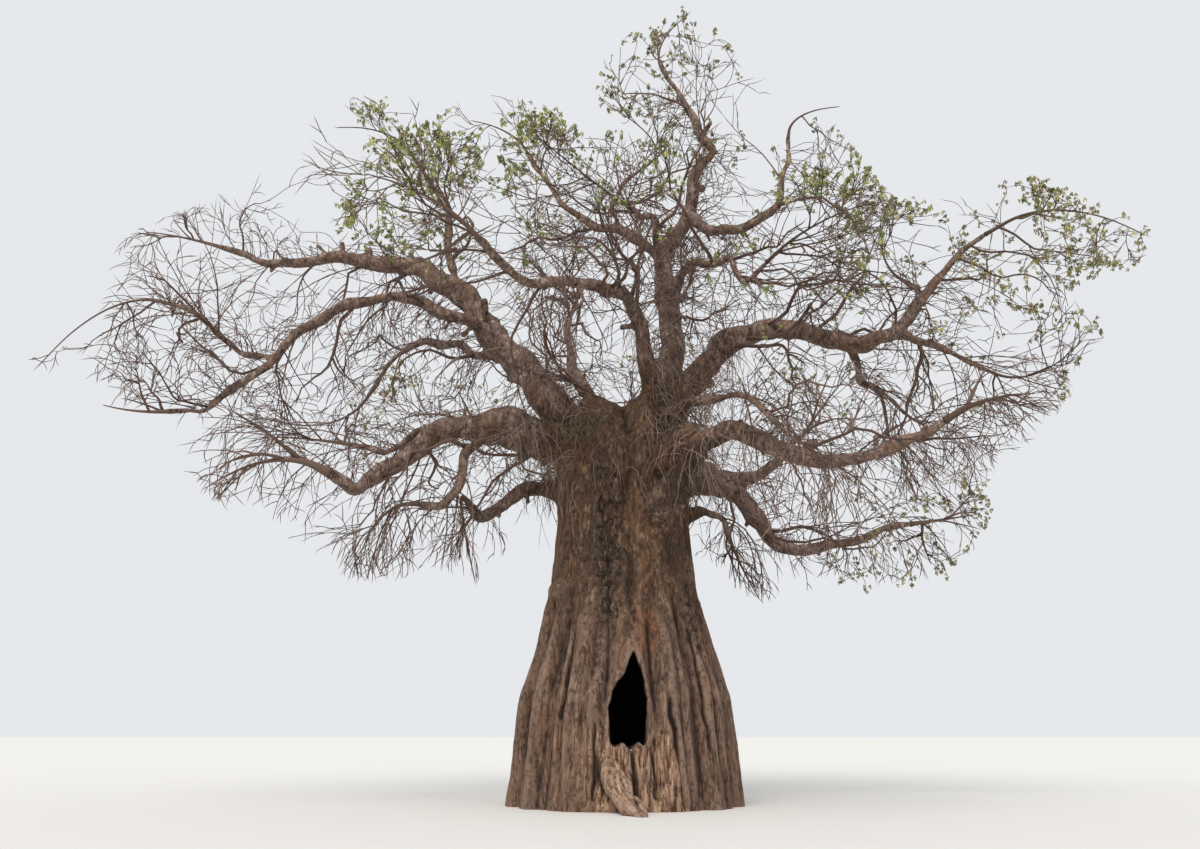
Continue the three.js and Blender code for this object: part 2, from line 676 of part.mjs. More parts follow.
// A limb as one solid, or as two where it bends round a wide gap
function limbSolids(limb, limbs) {
  const last = limb.rings.length - 1;
  const ends = limb.outer ? [limb.cut, Math.round(limb.splitAt * last), last] : [limb.cut, last];
  const names = limb.outer ? [limb.name, limb.outer] : [limb.name];
  return names.map((name, i) => {
    const rings = partedRings(limb.rings.slice(ends[i], ends[i + 1] + 1));
    const isHere = (child) => child.at * last >= ends[i] && child.at * last < ends[i + 1];
    const children = limbs.filter((child) => child.on === limb.name && isHere(child));
    return { name, solid: withCollars(solidFrom(tube(rings, limb.sides)), children) };
  });
}

// Twigs

// Where a point lies in a space: 0 in the middle, 1 on its skin
function depthInSpace(point, space) {
  const x = (point.x - space.middle[0]) / space.half[0];
  const y = (point.y - space.middle[1]) / space.half[1];
  const z = (point.z - space.middle[2]) / space.half[2];
  return x * x + y * y + z * z;
}

function inOwnSpace(point, space, spaces, skin = 1) {
  const own = depthInSpace(point, space);
  const others = spaces.filter((other) => other !== space);
  return own < skin && others.every((other) => depthInSpace(point, other) > own + SPACE_MARGIN);
}

// How far it is from a point to the skin of a space
function roomAhead(point, direction, space) {
  const scaled = (v, from) => [0, 1, 2].map((k) => (v.getComponent(k) - from[k]) / space.half[k]);
  const at = scaled(point, space.middle);
  const way = scaled(direction, [0, 0, 0]);
  const dot = (a, b) => a[0] * b[0] + a[1] * b[1] + a[2] * b[2];
  const a = dot(way, way);
  const b = dot(at, way);
  const rest = b * b - a * (dot(at, at) - 1);
  return rest > 0 ? Math.max(0, (Math.sqrt(rest) - b) / a) : 0;
}

function twigRings(points, root, tip) {
  const directions = directionsAlong(points);
  const last = points.length - 1;
  return points.map((point, i) => ({
    point,
    direction: directions[i],
    radius: i === last ? 0 : mix(root, tip, i / last),
  }));
}

// One branch of a twig: its points run out from a place on the parent, and bend as they go
function branchPoints(start, direction, long, lift, steps, seed) {
  const points = [start];
  const way = direction.clone();
  for (let step = 0; step < steps; step++) {
    const sway = [0, 1, 2].map((k) => (chance(seed, DRAWS.sway + 3 * step + k) - 0.5) * CROOKED);
    if (step > 0) way.add(vector(sway)).add(new THREE.Vector3(0, 0, lift)).normalize();
    points.push(points.at(-1).clone().addScaledVector(way, long / steps));
  }
  return points;
}

function branchFrom(parent, index, rule, mass, isFree) {
  const seed = mixedSeed(parent.seed, index);
  const last = parent.points.length - 1;
  const spread = (chance(parent.seed, DRAWS.place) + index * GOLDEN_PART) % 1;
  const along = mix(rule.from, rule.to, spread);
  const place = along * last;
  const step = Math.min(last - 1, Math.floor(place));
  const start = parent.points[step].clone().lerp(parent.points[step + 1], place - step);
  const forward = parent.points[step + 1].clone().sub(parent.points[step]).normalize();
  const aside = squareTo(forward);
  const across = forward.clone().cross(aside);
  const turn = index * GOLDEN_ANGLE + 2 * Math.PI * chance(parent.seed, DRAWS.turn);
  const angle = rule.angle * mix(...ANGLE_SPREAD, chance(seed, DRAWS.angle));
  const out = aside.multiplyScalar(Math.cos(turn)).addScaledVector(across, Math.sin(turn));
  const direction = forward.multiplyScalar(Math.cos(angle)).addScaledVector(out, Math.sin(angle));
  const room = roomAhead(start, direction, mass);
  const most = rule.most * mix(...LENGTH_SPREAD, chance(seed, DRAWS.length));
  const root = mix(parent.root, parent.tip, along) * rule.thin;
  for (const part of SHORTER) {
    const long = Math.min(most, rule.reach * room) * part;
    if (long < LEAST_TWIG) return null;
    const points = branchPoints(start, direction, long, mass.lift, rule.steps, seed);
    if (isFree(points, root)) return { points, root, tip: root * TWIG_TIP, seed, sides: rule.sides };
  }
  return null;
}

function branchesFrom(parent, rule, count, mass, isFree) {
  const branches = Array.from({ length: count }, (_, i) => branchFrom(parent, i, rule, mass, isFree));
  return branches.filter(Boolean);
}

// A leaf spray: a thin blade of eight faces whose root is sunk in the end of its twig
function leafSolid(twig) {
  const directions = directionsAlong(twig.points);
  const way = directions.at(-1);
  const across = squareTo(way);
  const face = way.clone().cross(across);
  const turn = chance(twig.seed, DRAWS.leaf) * Math.PI;
  const flat = across.clone().multiplyScalar(Math.cos(turn)).addScaledVector(face, Math.sin(turn));
  const up = way.clone().cross(flat);
  const root = twig.points.at(-1).clone().addScaledVector(way, -LEAF.sink);
  const middle = root.clone().addScaledVector(way, LEAF.long * LEAF.widest);
  const tip = root.clone().addScaledVector(way, LEAF.long);
  const points = [root, tip];
  for (const side of [1, -1]) {
    points.push(middle.clone().addScaledVector(flat, (side * LEAF.wide) / 2));
    points.push(middle.clone().addScaledVector(up, (side * LEAF.thick) / 2));
  }
  const triangles = [];
  for (let side = 0; side < 4; side++) {
    const here = 2 + side;
    const next = 2 + ((side + 1) % 4);
    triangles.push(0, next, here, 1, here, next);
  }
  return { solid: solidFrom(geometryFromPoints(points, triangles)), points };
}

function growMass(mass, index, spaces, limbs) {
  const limb = limbs.find(({ name }) => name === mass.limb);
  const end = limb.rings.at(-1);
  const stemEnd = vector(mass.end);
  const bow = end.point.clone().addScaledVector(end.direction, STEM.bow * end.point.distanceTo(stemEnd));
  const curve = new THREE.QuadraticBezierCurve3(end.point, bow, stemEnd);
  const stem = {
    points: curve.getPoints(STEM.steps),
    root: end.radius,
    tip: STEM.tip,
    seed: mixedSeed(index, DRAWS.stem),
    sides: STEM.sides,
  };
  const clearOf = (point, margin) =>
    !insideTrunk(point, CLEARANCE) && limbs.every((other) => distanceToRings(point, other.rings) > margin);
  const isFree = (points, root) => {
    const middles = points.slice(1).map((point, i) => point.clone().lerp(points[i], 0.5));
    const later = [...points.slice(1), ...middles];
    return later.every((point) => inOwnSpace(point, mass, spaces) && clearOf(point, root + CLEARANCE));
  };
  const limbletCount = Math.round(LIMBLETS_PER_METRE * (mass.half[0] + mass.half[1] + mass.half[2]));
  const limblets = branchesFrom(stem, LIMBLETS, limbletCount, mass, isFree);
  const twigs = limblets.flatMap((limblet) => branchesFrom(limblet, TWIGS, TWIGS_EACH, mass, isFree));
  const stemRings = twigRings(stem.points, stem.root, stem.tip);
  stemRings[0].direction = end.direction;
  let solid = solidFrom(tube(partedRings(stemRings), stem.sides));
  for (const twig of [...limblets, ...twigs]) {
    solid = solid.add(solidFrom(tube(twigRings(twig.points, twig.root, twig.tip), twig.sides)));
  }
  const fits = (point) => inOwnSpace(point, mass, spaces, LEAF.skin) && clearOf(point, CLEARANCE);
  const leaves = [stem, ...twigs, ...limblets].map(leafSolid).filter(({ points }) => points.every(fits));
  for (const leaf of leaves.slice(0, mass.leaves)) solid = solid.add(leaf.solid);
  return largestBody(solid);
}

// Assembly

const tree = new THREE.Group();

function addNode(name, solid, material) {
  const mesh = new THREE.Mesh(geometryFrom(solid), material);
  mesh.name = name;
  tree.add(mesh);
}

function trunkSolid(limbs) {
  const spurCurve = new THREE.CatmullRomCurve3(SPUR.path.map(vector));
  const spur = { on: "ground", curve: spurCurve, length: spurCurve.getLength(), thick: SPUR.thick };
  const boughs = limbs.filter((limb) => limb.on === "trunk");
  const grown = withCollars(trunkBody(), boughs).add(solidFrom(tube(limbRings(spur), SPUR.sides)));
  return grown.subtract(blockUnder(0)).subtract(hollowSolid()).subtract(doorwaySolid());
}

const limbs = growLimbs();
addNode("trunk", largestBody(trunkSolid(limbs)), BARK);
for (const limb of limbs.filter(({ spur }) => !spur)) {
  for (const { name, solid } of limbSolids(limb, limbs)) addNode(name, largestBody(solid), BOUGH_BARK);
}
MASSES.forEach((mass, index) => {
  addNode(mass.name, growMass(mass, index, MASSES, limbs), mass.leaves > 0 ? LEAFY_TWIGS : BARE_TWIGS);
});

export default tree;
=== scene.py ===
# A baobab tree: its bark, boughs, twigs and leaves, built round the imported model.
# Places are in metres, with +Z up and the doorway toward -Y.
import math

import bmesh
import bpy
import numpy as np
from mathutils import Matrix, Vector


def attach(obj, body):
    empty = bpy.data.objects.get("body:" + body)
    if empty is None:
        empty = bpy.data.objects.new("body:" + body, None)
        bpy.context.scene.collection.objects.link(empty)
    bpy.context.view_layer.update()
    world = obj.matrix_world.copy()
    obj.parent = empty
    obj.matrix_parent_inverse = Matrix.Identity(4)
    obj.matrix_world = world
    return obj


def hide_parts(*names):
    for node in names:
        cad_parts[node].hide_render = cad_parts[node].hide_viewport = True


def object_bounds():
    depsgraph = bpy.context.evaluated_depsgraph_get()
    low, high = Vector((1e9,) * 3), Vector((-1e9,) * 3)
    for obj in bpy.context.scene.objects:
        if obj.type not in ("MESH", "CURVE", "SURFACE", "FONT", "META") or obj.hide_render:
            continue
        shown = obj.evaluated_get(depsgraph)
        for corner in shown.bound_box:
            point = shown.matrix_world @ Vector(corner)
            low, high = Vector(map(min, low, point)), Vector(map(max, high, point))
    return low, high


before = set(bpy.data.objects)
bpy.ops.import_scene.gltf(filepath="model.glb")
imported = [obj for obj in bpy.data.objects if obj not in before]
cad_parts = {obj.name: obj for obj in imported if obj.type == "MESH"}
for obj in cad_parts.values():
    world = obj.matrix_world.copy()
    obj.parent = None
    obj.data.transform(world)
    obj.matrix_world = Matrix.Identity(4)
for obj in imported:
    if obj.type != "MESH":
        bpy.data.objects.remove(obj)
cad_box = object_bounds()

GOLDEN_ANGLE = math.pi * (3 - math.sqrt(5))
GOLDEN_PART = (math.sqrt(5) - 1) / 2
UP = np.array([0.0, 0.0, 1.0])

# Trunk: half its width at each height, and where its axis stands
TRUNK_LEVELS = [0, 0.7, 1.5, 2.4, 3.1, 3.8, 4.8, 5.8, 6.9, 7.9, 8.7, 9.3, 9.8]
TRUNK_WIDTHS = [2.86, 2.76, 2.68, 2.6, 2.38, 2.14, 1.87, 1.74, 1.69, 1.74, 1.72, 1.42, 0.95]
TRUNK_TOP = TRUNK_LEVELS[-1]
TRUNK_AXIS = 0.08
TRUNK_DEPTH = 0.93

# Folds down the foot of the trunk: broad ones, and narrow ones between them
FOLDS = {"count": 14, "deep": 0.3, "shallow": 0.06, "low": 2.8, "high": 5.8}
MINOR_FOLDS = {"count": 29, "deep": 0.2, "low": 2.8, "high": 4.8, "sharp": 1.4}
# What keeps the folds from being evenly spaced: the size, number and start of waves round the trunk
FOLD_WAVES = [(0.7, 2, 0.4), (0.5, 5, 0)]
MINOR_WAVES = [(1.3, 3, 1), (0.9, 7, 0)]
# Grooves that run up to the fork: angle, half width, depth, and the heights between which each begins
GROOVES = [
    (-1.5, 0.1, 0.2, 3.4, 4.6),
    (-1.02, 0.1, 0.1, 4.2, 5.8),
    (-2.12, 0.12, 0.1, 4.2, 5.6),
    (-0.35, 0.12, 0.1, 3.6, 5.0),
    (0.55, 0.14, 0.14, 3.2, 4.8),
    (1.4, 0.12, 0.1, 3.8, 5.2),
    (2.2, 0.13, 0.15, 3.4, 4.8),
    (3.0, 0.11, 0.09, 4.0, 5.4),
]

# The hollow inside the trunk, and the outline of the doorway from its sill round by its right side
HOLLOW = {"x": 0.12, "y": -0.35, "floor": 1.32, "middle": 2.5, "wide": 1.05, "deep": 1.35, "tall": 1.75}
DOOR = [
    (-0.27, 1.35), (-0.14, 1.35), (0.01, 1.39), (0.19, 1.29), (0.33, 1.4), (0.47, 1.31), (0.54, 1.66),
    (0.55, 2.33), (0.47, 2.81), (0.41, 3.0), (0.36, 3.19), (0.26, 3.4), (0.16, 3.24), (0.08, 3.05),
    (0.05, 2.9), (-0.11, 2.71), (-0.28, 2.47), (-0.31, 2.19), (-0.29, 1.77),
]
DOOR_FROM = -0.9
DOOR_TO = -3.3
# The root spur under the sill: its line, and how far its strands lie apart and how thick they are along it
SPUR = [
    (-0.25, -2.05, 1.3), (-0.25, -2.3, 1.0), (-0.17, -2.5, 0.62), (0.06, -2.92, 0.25), (0.4, -3.75, -0.03),
]
SPUR_WIDE = [0.14, 0.15, 0.14, 0.1, 0.03]
SPUR_THICK = [0.15, 0.17, 0.17, 0.14, 0.07]
SPUR_STRANDS = 3
# Where the front of the foot is flat round the doorway's sill: across and up
APRON = {"left": (-1.5, -0.9), "right": (1.05, 1.35), "top": (1.5, 2.5), "depth": 0.1, "flat": 0.85}
# Webs of bark between limbs at the fork: their ends and how thick they are there
WEBS = [((0.95, -1.1, 8.0), (1.8, -2.05, 8.6), 0.42, 0.22)]

# Limbs: name, what each grows from, where it starts (a point, or how far along its parent), its radius
# at its root and its tip, and its elbows
LIMBS = [
    ("bough_left_low", "trunk", (-0.7, -0.2, 8.0), (0.46, 0.15), [
        (-1.6, -0.6, 8.7), (-2.9, -1.1, 8.95), (-4.4, -1.6, 8.6), (-5.6, -2.0, 7.6),
        (-6.2, -2.15, 7.05), (-6.8, -2.3, 7.4)]),
    ("limb_left_drooping", "bough_left_low", 0.37, (0.13, 0.08), [
        (-3.75, -1.75, 8.0), (-3.85, -2.0, 7.1), (-4.2, -2.1, 6.7), (-4.7, -2.2, 6.7)]),
    ("limb_left_middle", "bough_left_low", 0.48, (0.14, 0.06), [
        (-4.9, -1.0, 8.85), (-5.9, -0.6, 8.4), (-6.9, -0.2, 8.7)]),
    ("bough_left_high", "trunk", (-0.5, 0.1, 8.6), (0.5, 0.08), [
        (-1.9, 0, 10.0), (-3.2, 0.3, 11.7), (-4.6, 0.8, 13.5), (-5.5, 1.0, 14.2), (-8.1, 1.5, 14.9),
        (-10.4, 1.7, 14.8), (-11.7, 1.9, 15.4)]),
    ("bough_left_arch", "bough_left_high", 0.26, (0.2, 0.07), [
        (-4.0, -0.1, 12.2), (-5.5, -0.6, 12.6), (-7.2, -1.3, 12.1), (-8.3, -1.8, 10.9),
        (-9.0, -2.0, 9.9), (-10.0, -2.2, 9.0), (-10.7, -2.4, 8.9)]),
    ("limb_left_tip", "bough_left_arch", 0.71, (0.09, 0.055), [
        (-9.4, -1.85, 10.6), (-10.3, -1.75, 11.4), (-11.3, -1.6, 12.0)]),
    ("limb_left_back", "bough_left_high", 0.23, (0.16, 0.07), [
        (-3.6, 1.0, 11.6), (-4.6, 1.5, 12.2), (-5.5, 2.0, 12.4), (-6.5, 2.6, 12.2), (-7.2, 3.2, 11.5)]),
    ("limb_upper_left", "bough_left_high", 0.41, (0.15, 0.06), [
        (-4.85, 1.0, 14.9), (-5.0, 1.3, 16.4), (-5.6, 1.5, 17.3), (-6.1, 1.6, 18.2)]),
    ("bough_left_stub", "trunk", (-0.9, 0.2, 7.5), (0.23, 0.11), [
        (-2.3, 0.2, 7.6), (-3.1, 0.2, 7.15), (-3.6, 0.2, 6.9), (-3.85, 0.2, 7.2)]),
    ("bough_middle", "trunk", (-0.35, 0.7, 8.8), (0.24, 0.08), [
        (-0.7, 1.5, 10.3), (-1.3, 2.2, 11.7), (-1.5, 2.7, 13.1), (-1.3, 3.0, 13.9)]),
    ("bough_main", "trunk", (0.95, 0.3, 8.8), (0.42, 0.07), [
        (1.3, 0.6, 10.2), (1.4, 0.8, 13.2), (1.35, 0.9, 14.5), (2.1, 0.8, 16.2), (2.2, 0.7, 17.0),
        (2.85, 0.6, 17.9), (2.4, 0.6, 18.6), (2.1, 0.6, 19.3), (1.5, 0.5, 20.3)]),
    ("limb_top_right", "bough_main", 0.6, (0.17, 0.06), [
        (2.25, 0.2, 15.3), (2.6, 0.0, 14.95), (3.4, -0.1, 15.0), (4.4, -0.3, 15.7), (4.8, -0.4, 16.9),
        (4.8, -0.4, 17.6)]),
    ("limb_top_left", "bough_main", 0.46, (0.18, 0.06), [
        (0.6, 1.2, 15.3), (-0.9, 1.8, 16.2), (-1.8, 2.05, 17.2), (-2.4, 2.2, 18.2), (-2.7, 2.3, 18.8)]),
    ("limb_top_middle", "limb_top_left", 0.3, (0.09, 0.05), [
        (-0.1, 1.3, 16.4), (0.2, 1.2, 17.1), (0.8, 1.1, 17.6)]),
    ("bough_front_left", "trunk", (0.5, -0.4, 8.8), (0.25, 0.08), [
        (0.7, -0.7, 10.0), (0.6, -1.5, 11.4), (0.1, -2.4, 11.95), (-1.2, -3.6, 11.7),
        (-2.1, -4.3, 11.4), (-3.1, -5.3, 11.9)]),
    ("limb_centre_loop", "bough_main", 0.36, (0.13, 0.06), [
        (1.95, -0.6, 13.65), (2.8, -2.0, 13.1), (3.1, -2.6, 12.2), (3.5, -3.2, 12.4)]),
    ("limb_front_upper", "bough_main", 0.43, (0.11, 0.055), [(1.0, -0.7, 14.9), (0.3, -2.2, 14.4)]),
    ("limb_back_upper", "bough_main", 0.33, (0.14, 0.06), [(1.8, 2.3, 13.9), (2.2, 3.9, 14.7)]),
    ("bough_right_high", "trunk", (1.0, 0.1, 9.0), (0.42, 0.065), [
        (2.0, 0.15, 10.6), (3.0, 0.2, 11.7), (4.1, 0.2, 12.1), (5.3, 0.05, 11.9), (6.3, -0.2, 11.4),
        (7.3, -0.6, 11.75), (8.5, -1.0, 13.1), (9.6, -1.4, 14.1)]),
    ("limb_right_level", "bough_right_high", 0.69, (0.12, 0.06), [
        (8.3, -0.3, 11.4), (9.1, -0.2, 11.0), (9.6, -0.2, 10.8)]),
    ("limb_right_back", "bough_right_high", 0.56, (0.11, 0.055), [
        (6.6, 0.8, 10.8), (7.5, 1.5, 10.6), (8.1, 2.0, 10.3)]),
    ("spur_right_upper", "bough_right_high", 0.8, (0.09, 0.06), [(7.75, -0.5, 13.1)]),
    ("bough_right_middle", "trunk", (0.7, -0.75, 6.2), (0.36, 0.11), [
        (0.95, -1.75, 6.9), (1.8, -2.7, 8.0), (2.5, -3.1, 8.2), (3.8, -3.6, 7.45), (4.7, -3.8, 7.3),
        (6.2, -4.0, 7.7), (7.0, -4.2, 8.1)]),
    ("limb_front_right", "trunk", (0.9, -0.5, 8.8), (0.15, 0.06), [
        (1.7, -1.5, 9.45), (2.6, -2.9, 9.2), (3.0, -3.8, 8.6), (3.3, -4.6, 7.9)]),
    ("bough_right_low", "trunk", (0.9, 0.35, 7.3), (0.28, 0.09), [
        (1.9, 0.65, 7.85), (2.7, 1.0, 8.0), (3.4, 1.3, 7.6), (4.3, 1.7, 6.45), (4.9, 1.9, 6.3),
        (6.7, 2.3, 6.8), (8.2, 2.6, 7.2)]),
    ("limb_right_stub", "trunk", (1.1, 0.05, 6.9), (0.13, 0.06), [
        (2.0, 0.15, 7.1), (2.6, 0.3, 6.9), (2.85, 0.4, 6.3)]),
    ("bough_back_left", "trunk", (-0.6, 0.6, 8.2), (0.34, 0.09), [
        (-1.9, 2.2, 9.1), (-3.0, 3.8, 9.9), (-4.0, 5.4, 10.5), (-5.0, 6.6, 11.4)]),
    ("bough_back", "trunk", (0.2, 0.8, 8.4), (0.36, 0.09), [
        (0.5, 2.4, 9.4), (0.9, 4.2, 9.9), (0.9, 5.8, 10.7), (0.6, 7.0, 11.8)]),
    ("bough_back_right", "trunk", (0.9, 0.7, 8.0), (0.32, 0.09), [
        (2.3, 2.2, 8.7), (3.8, 3.9, 8.9), (5.0, 5.2, 9.7), (5.9, 6.0, 10.7)]),
]
ROOT_FLARE = {"trunk": 0.6, "limb": 0.3, "run": 1.8}
CROOK = 0.06
CLEARANCE = 0.06
WIGGLE = {"wide": 0.2, "per_metre": 0.9}

# Masses of twigs: name, limb, middle and half size of the space, where the stem runs to, how the twigs
# lift (down where it is less than 0), how leafy the mass is, from 0 to 10, and how full of twigs
MASSES = [
    ("left_tip", "limb_left_tip", (-12.7, -1.4, 10.9), (2.4, 1.9, 1.4), (-15.0, -1.0, 10.4), 0.02, 0, 0.6),
    ("left_low_tip", "bough_left_arch", (-10.6, -2.7, 8.9), (1.8, 1.9, 1.4),
        (-12.1, -2.9, 8.9), -0.08, 0, 0.4),
    ("left_edge", "bough_left_high", (-11.8, 1.8, 15.2), (2.5, 2.4, 1.8), (-14.2, 2.0, 16.0), 0.05, 0, 0.4),
    ("left_back", "limb_left_back", (-8.6, 3.9, 11.4), (2.6, 2.3, 2.3), (-10.9, 4.6, 10.9), -0.1, 0, 0.2),
    ("upper_left", "limb_upper_left", (-7.3, 1.6, 17.4), (2.8, 2.6, 2.5), (-8.7, 1.7, 19.4), 0.15, 3, 0.1),
    ("left_low", "bough_left_low", (-7.8, -2.4, 7.4), (2.0, 2.1, 2.0), (-9.5, -2.7, 7.0), -0.12, 0, 0.14),
    ("left_hanging", "limb_left_drooping", (-5.0, -2.4, 6.3), (1.6, 1.6, 1.3),
        (-5.9, -2.6, 5.5), -0.35, 0, 0.22),
    ("left_middle", "limb_left_middle", (-8.0, 0.4, 9.2), (2.1, 1.9, 1.9),
        (-9.7, 0.8, 9.2), -0.05, 0, 0.27),
    ("left_stub", "bough_left_stub", (-3.3, 0.2, 6.3), (1.5, 1.5, 1.3), (-3.6, 0.1, 5.1), -0.4, 0, 0.24),
    ("middle", "bough_middle", (-1.8, 3.5, 14.7), (2.1, 2.1, 1.9), (-2.2, 3.8, 16.3), 0.1, 0, 1.3),
    ("front_left", "bough_front_left", (-3.7, -5.7, 12.3), (2.2, 2.3, 1.5),
        (-5.5, -6.4, 12.9), 0.1, 5, 1.1),
    ("top_left", "limb_top_left", (-3.4, 2.2, 18.4), (2.5, 2.3, 1.9), (-4.6, 2.2, 20.0), 0.15, 2, 0.2),
    ("top_middle", "limb_top_middle", (0.1, 1.2, 18.3), (1.7, 1.8, 1.8), (-0.3, 1.2, 19.9), 0.15, 4, 0.36),
    ("top", "bough_main", (2.6, 0.5, 20.25), (2.6, 2.6, 2.15), (2.3, 0.5, 22.7), 0.2, 9, 0.18),
    ("top_right", "limb_top_right", (5.6, -0.4, 16.9), (2.3, 2.3, 1.9), (6.4, -0.4, 18.7), 0.15, 6, 0.2),
    ("front_upper", "limb_front_upper", (-0.8, -3.6, 14.3), (2.0, 2.1, 1.5),
        (-2.2, -5.1, 14.9), 0.1, 5, 1.1),
    ("back_upper", "limb_back_upper", (2.4, 5.2, 15.6), (2.6, 2.4, 2.3), (2.5, 6.8, 17.3), 0.15, 3, 0.36),
    ("centre", "limb_centre_loop", (4.3, -3.7, 12.7), (1.9, 1.9, 1.6), (5.8, -4.3, 13.4), 0, 4, 0.7),
    ("right_tip", "bough_right_high", (11.2, -1.5, 13.9), (2.75, 2.2, 1.45),
        (13.9, -1.5, 13.95), 0.1, 18, 0.9),
    ("right_upper", "spur_right_upper", (7.7, -0.4, 14.0), (1.9, 2.0, 1.6),
        (7.3, -0.3, 15.4), 0.1, 10, 0.3),
    ("right_level", "limb_right_level", (10.3, -0.1, 11.4), (2.3, 2.1, 1.7), (12.4, 0, 11.6), 0.05, 4, 0.4),
    ("right_back", "limb_right_back", (8.8, 2.9, 10.4), (2.1, 2.0, 1.8), (10.4, 3.7, 10.2), -0.1, 0, 0.2),
    ("right_middle", "bough_right_middle", (7.4, -4.5, 8.2), (1.7, 1.9, 1.5),
        (8.8, -4.9, 8.5), -0.1, 0, 0.28),
    ("front_right", "limb_front_right", (3.8, -5.3, 7.4), (1.5, 1.6, 1.3),
        (4.3, -6.3, 6.5), -0.35, 0, 0.32),
    ("right_low", "bough_right_low", (8.5, 2.8, 7.2), (2.2, 2.1, 1.8), (10.3, 3.2, 7.6), -0.05, 7, 0.24),
    ("right_stub", "limb_right_stub", (3.1, 0.6, 5.9), (1.4, 1.4, 1.2), (3.6, 0.9, 4.9), -0.4, 0, 0.28),
    ("back_left", "bough_back_left", (-6.0, 7.6, 11.8), (2.9, 2.7, 2.3), (-7.9, 9.2, 12.3), 0, 3, 0.36),
    ("back", "bough_back", (0.6, 8.3, 12.4), (3.0, 2.7, 2.4), (0.4, 10.7, 13.1), 0.05, 3, 0.4),
    ("back_right", "bough_back_right", (6.7, 7.0, 11.4), (2.8, 2.6, 2.3), (8.6, 8.5, 12.1), 0, 3, 0.36),
]
MASS_NAMES = [row[0] for row in MASSES]
MIDDLES = np.array([row[2] for row in MASSES], float)
HALVES = np.array([row[3] for row in MASSES], float)
LIFTS = np.array([row[5] for row in MASSES], float)
LEAFY = np.array([row[6] for row in MASSES], float) / 10
FULL = np.array([row[7] for row in MASSES])

# The crown's edge as it is seen from where the photo was taken, across and up, at the trunk's depth
EYE = np.array([-0.5, -25.0, 1.6])
CROWN_EDGE = np.array([
    (-1.7, 5.6), (-2.0, 4.8), (-2.8, 5.0), (-3.5, 5.4), (-4.5, 5.7), (-6.0, 5.3), (-7.1, 5.5), (-8.1, 6.1),
    (-9.1, 7.0), (-10.4, 7.1), (-11.5, 8.2), (-12.1, 9.2), (-13.3, 9.8), (-13.3, 10.3), (-14.8, 10.4),
    (-15.9, 10.7), (-15.8, 11.1), (-13.7, 11.8), (-14.1, 13.0), (-14.0, 14.2), (-13.1, 15.0), (-11.0, 16.2),
    (-10.1, 17.2), (-9.3, 19.0), (-7.9, 19.3), (-5.9, 19.3), (-4.1, 19.3), (-2.7, 19.1), (-1.6, 18.3),
    (-0.7, 18.1), (0.1, 18.5), (-0.7, 19.9), (-0.1, 21.3), (1.1, 21.9), (2.2, 22.7), (2.6, 22.0),
    (3.9, 21.8),
    (5.0, 20.7), (5.3, 19.5), (6.1, 18.8), (6.9, 17.3), (8.0, 16.0), (8.7, 15.7), (9.9, 16.6), (11.4, 16.7),
    (12.6, 16.1), (14.9, 15.4), (14.6, 14.2), (13.1, 13.7), (12.3, 13.2), (12.5, 12.5), (13.1, 11.8),
    (12.1, 11.1), (11.9, 10.4), (11.4, 9.2), (10.0, 8.5), (9.4, 7.6), (9.2, 6.1), (8.0, 5.3), (6.1, 5.0),
    (5.2, 5.4), (3.9, 4.7), (3.0, 4.8), (2.1, 5.6),
])

# The rules by which twigs branch, level by level. The first two are the source's, with more twigs on each
# parent, and the others are the scene's own.
STEM = {"steps": 4, "tip": 0.012, "bow": 0.5}
RULE = dict(end=1.0, reach=1.0, curl=0.0, crook=0.3, lift=0.0, spread=0.3)
LIMBLETS = RULE | dict(start=0.06, end=0.92, angle=1.15, reach=0.92, most=3.4, thin=0.62, steps=2)
TWIGS = RULE | dict(start=0.25, end=0.95, angle=0.85, reach=0.8, most=1.5, thin=0.7, steps=1)
TWIGLETS = RULE | dict(start=0.2, end=0.97, angle=0.75, most=0.9, thin=0.9, steps=3, curl=0.75, lift=-0.12)
SPRIGS = RULE | dict(start=0.3, angle=0.6, reach=1.1, most=0.5, thin=0.9, steps=2, curl=0.6, lift=-0.16)
BRANCHES = RULE | dict(start=0.25, angle=0.95, most=3.6, thin=1.0, steps=6, curl=0.12, crook=1.1)
BRANCH_TWIGS = RULE | dict(start=0.15, angle=0.8, most=1.6, thin=0.55, steps=3, curl=0.4, lift=-0.06)
SWEEPS = RULE | dict(
    start=0.5, angle=0.6, most=3.2, thin=0.5, steps=7, curl=0.16, crook=0.2, spread=0.12)
SWEEP_TWIGS = RULE | dict(
    start=0.15, angle=0.5, most=1.4, thin=0.6, steps=4, curl=0.15, crook=0.15, spread=0.15)
TUFTS = RULE | dict(start=0.05, end=0.95, angle=1.3, most=0.95, thin=0.22, steps=4, curl=0.7, lift=-0.08)
PER_METRE = {"limblets": 1.3, "branches": 1.3, "tufts": 8}
TWIGS_EACH = 4
BRANCH_TWIGS_EACH = 6
SWEEP_TWIGS_EACH = 5
# How many sweeping twigs a limb bears, how much a mass lifts that counts as rising, and how far along a
# stem its first sweeping twig may be
SWEEPS_EACH = {"spreading": 5, "rising": 2}
RISING = 0.05
STEM_SWEEPS_START = 0.05
ANGLE_SPREAD = (0.75, 1.25)
LENGTH_SPREAD = (0.7, 1.2)
SHORTER = (1, 0.72, 0.48)
SPACE_MARGIN = 0.05
DRAWS = dict(
    angle=1, length=2, lift=3, curl=4, stem=7, sway=20, bow=30, leaf=40, tone=50, place=900, turn=901)
LEAST_TWIG = 0.25
TWIG_TIP = 0.25
THINNEST = 0.012
THINNEST_TIP = THINNEST * 0.7


# Numbers

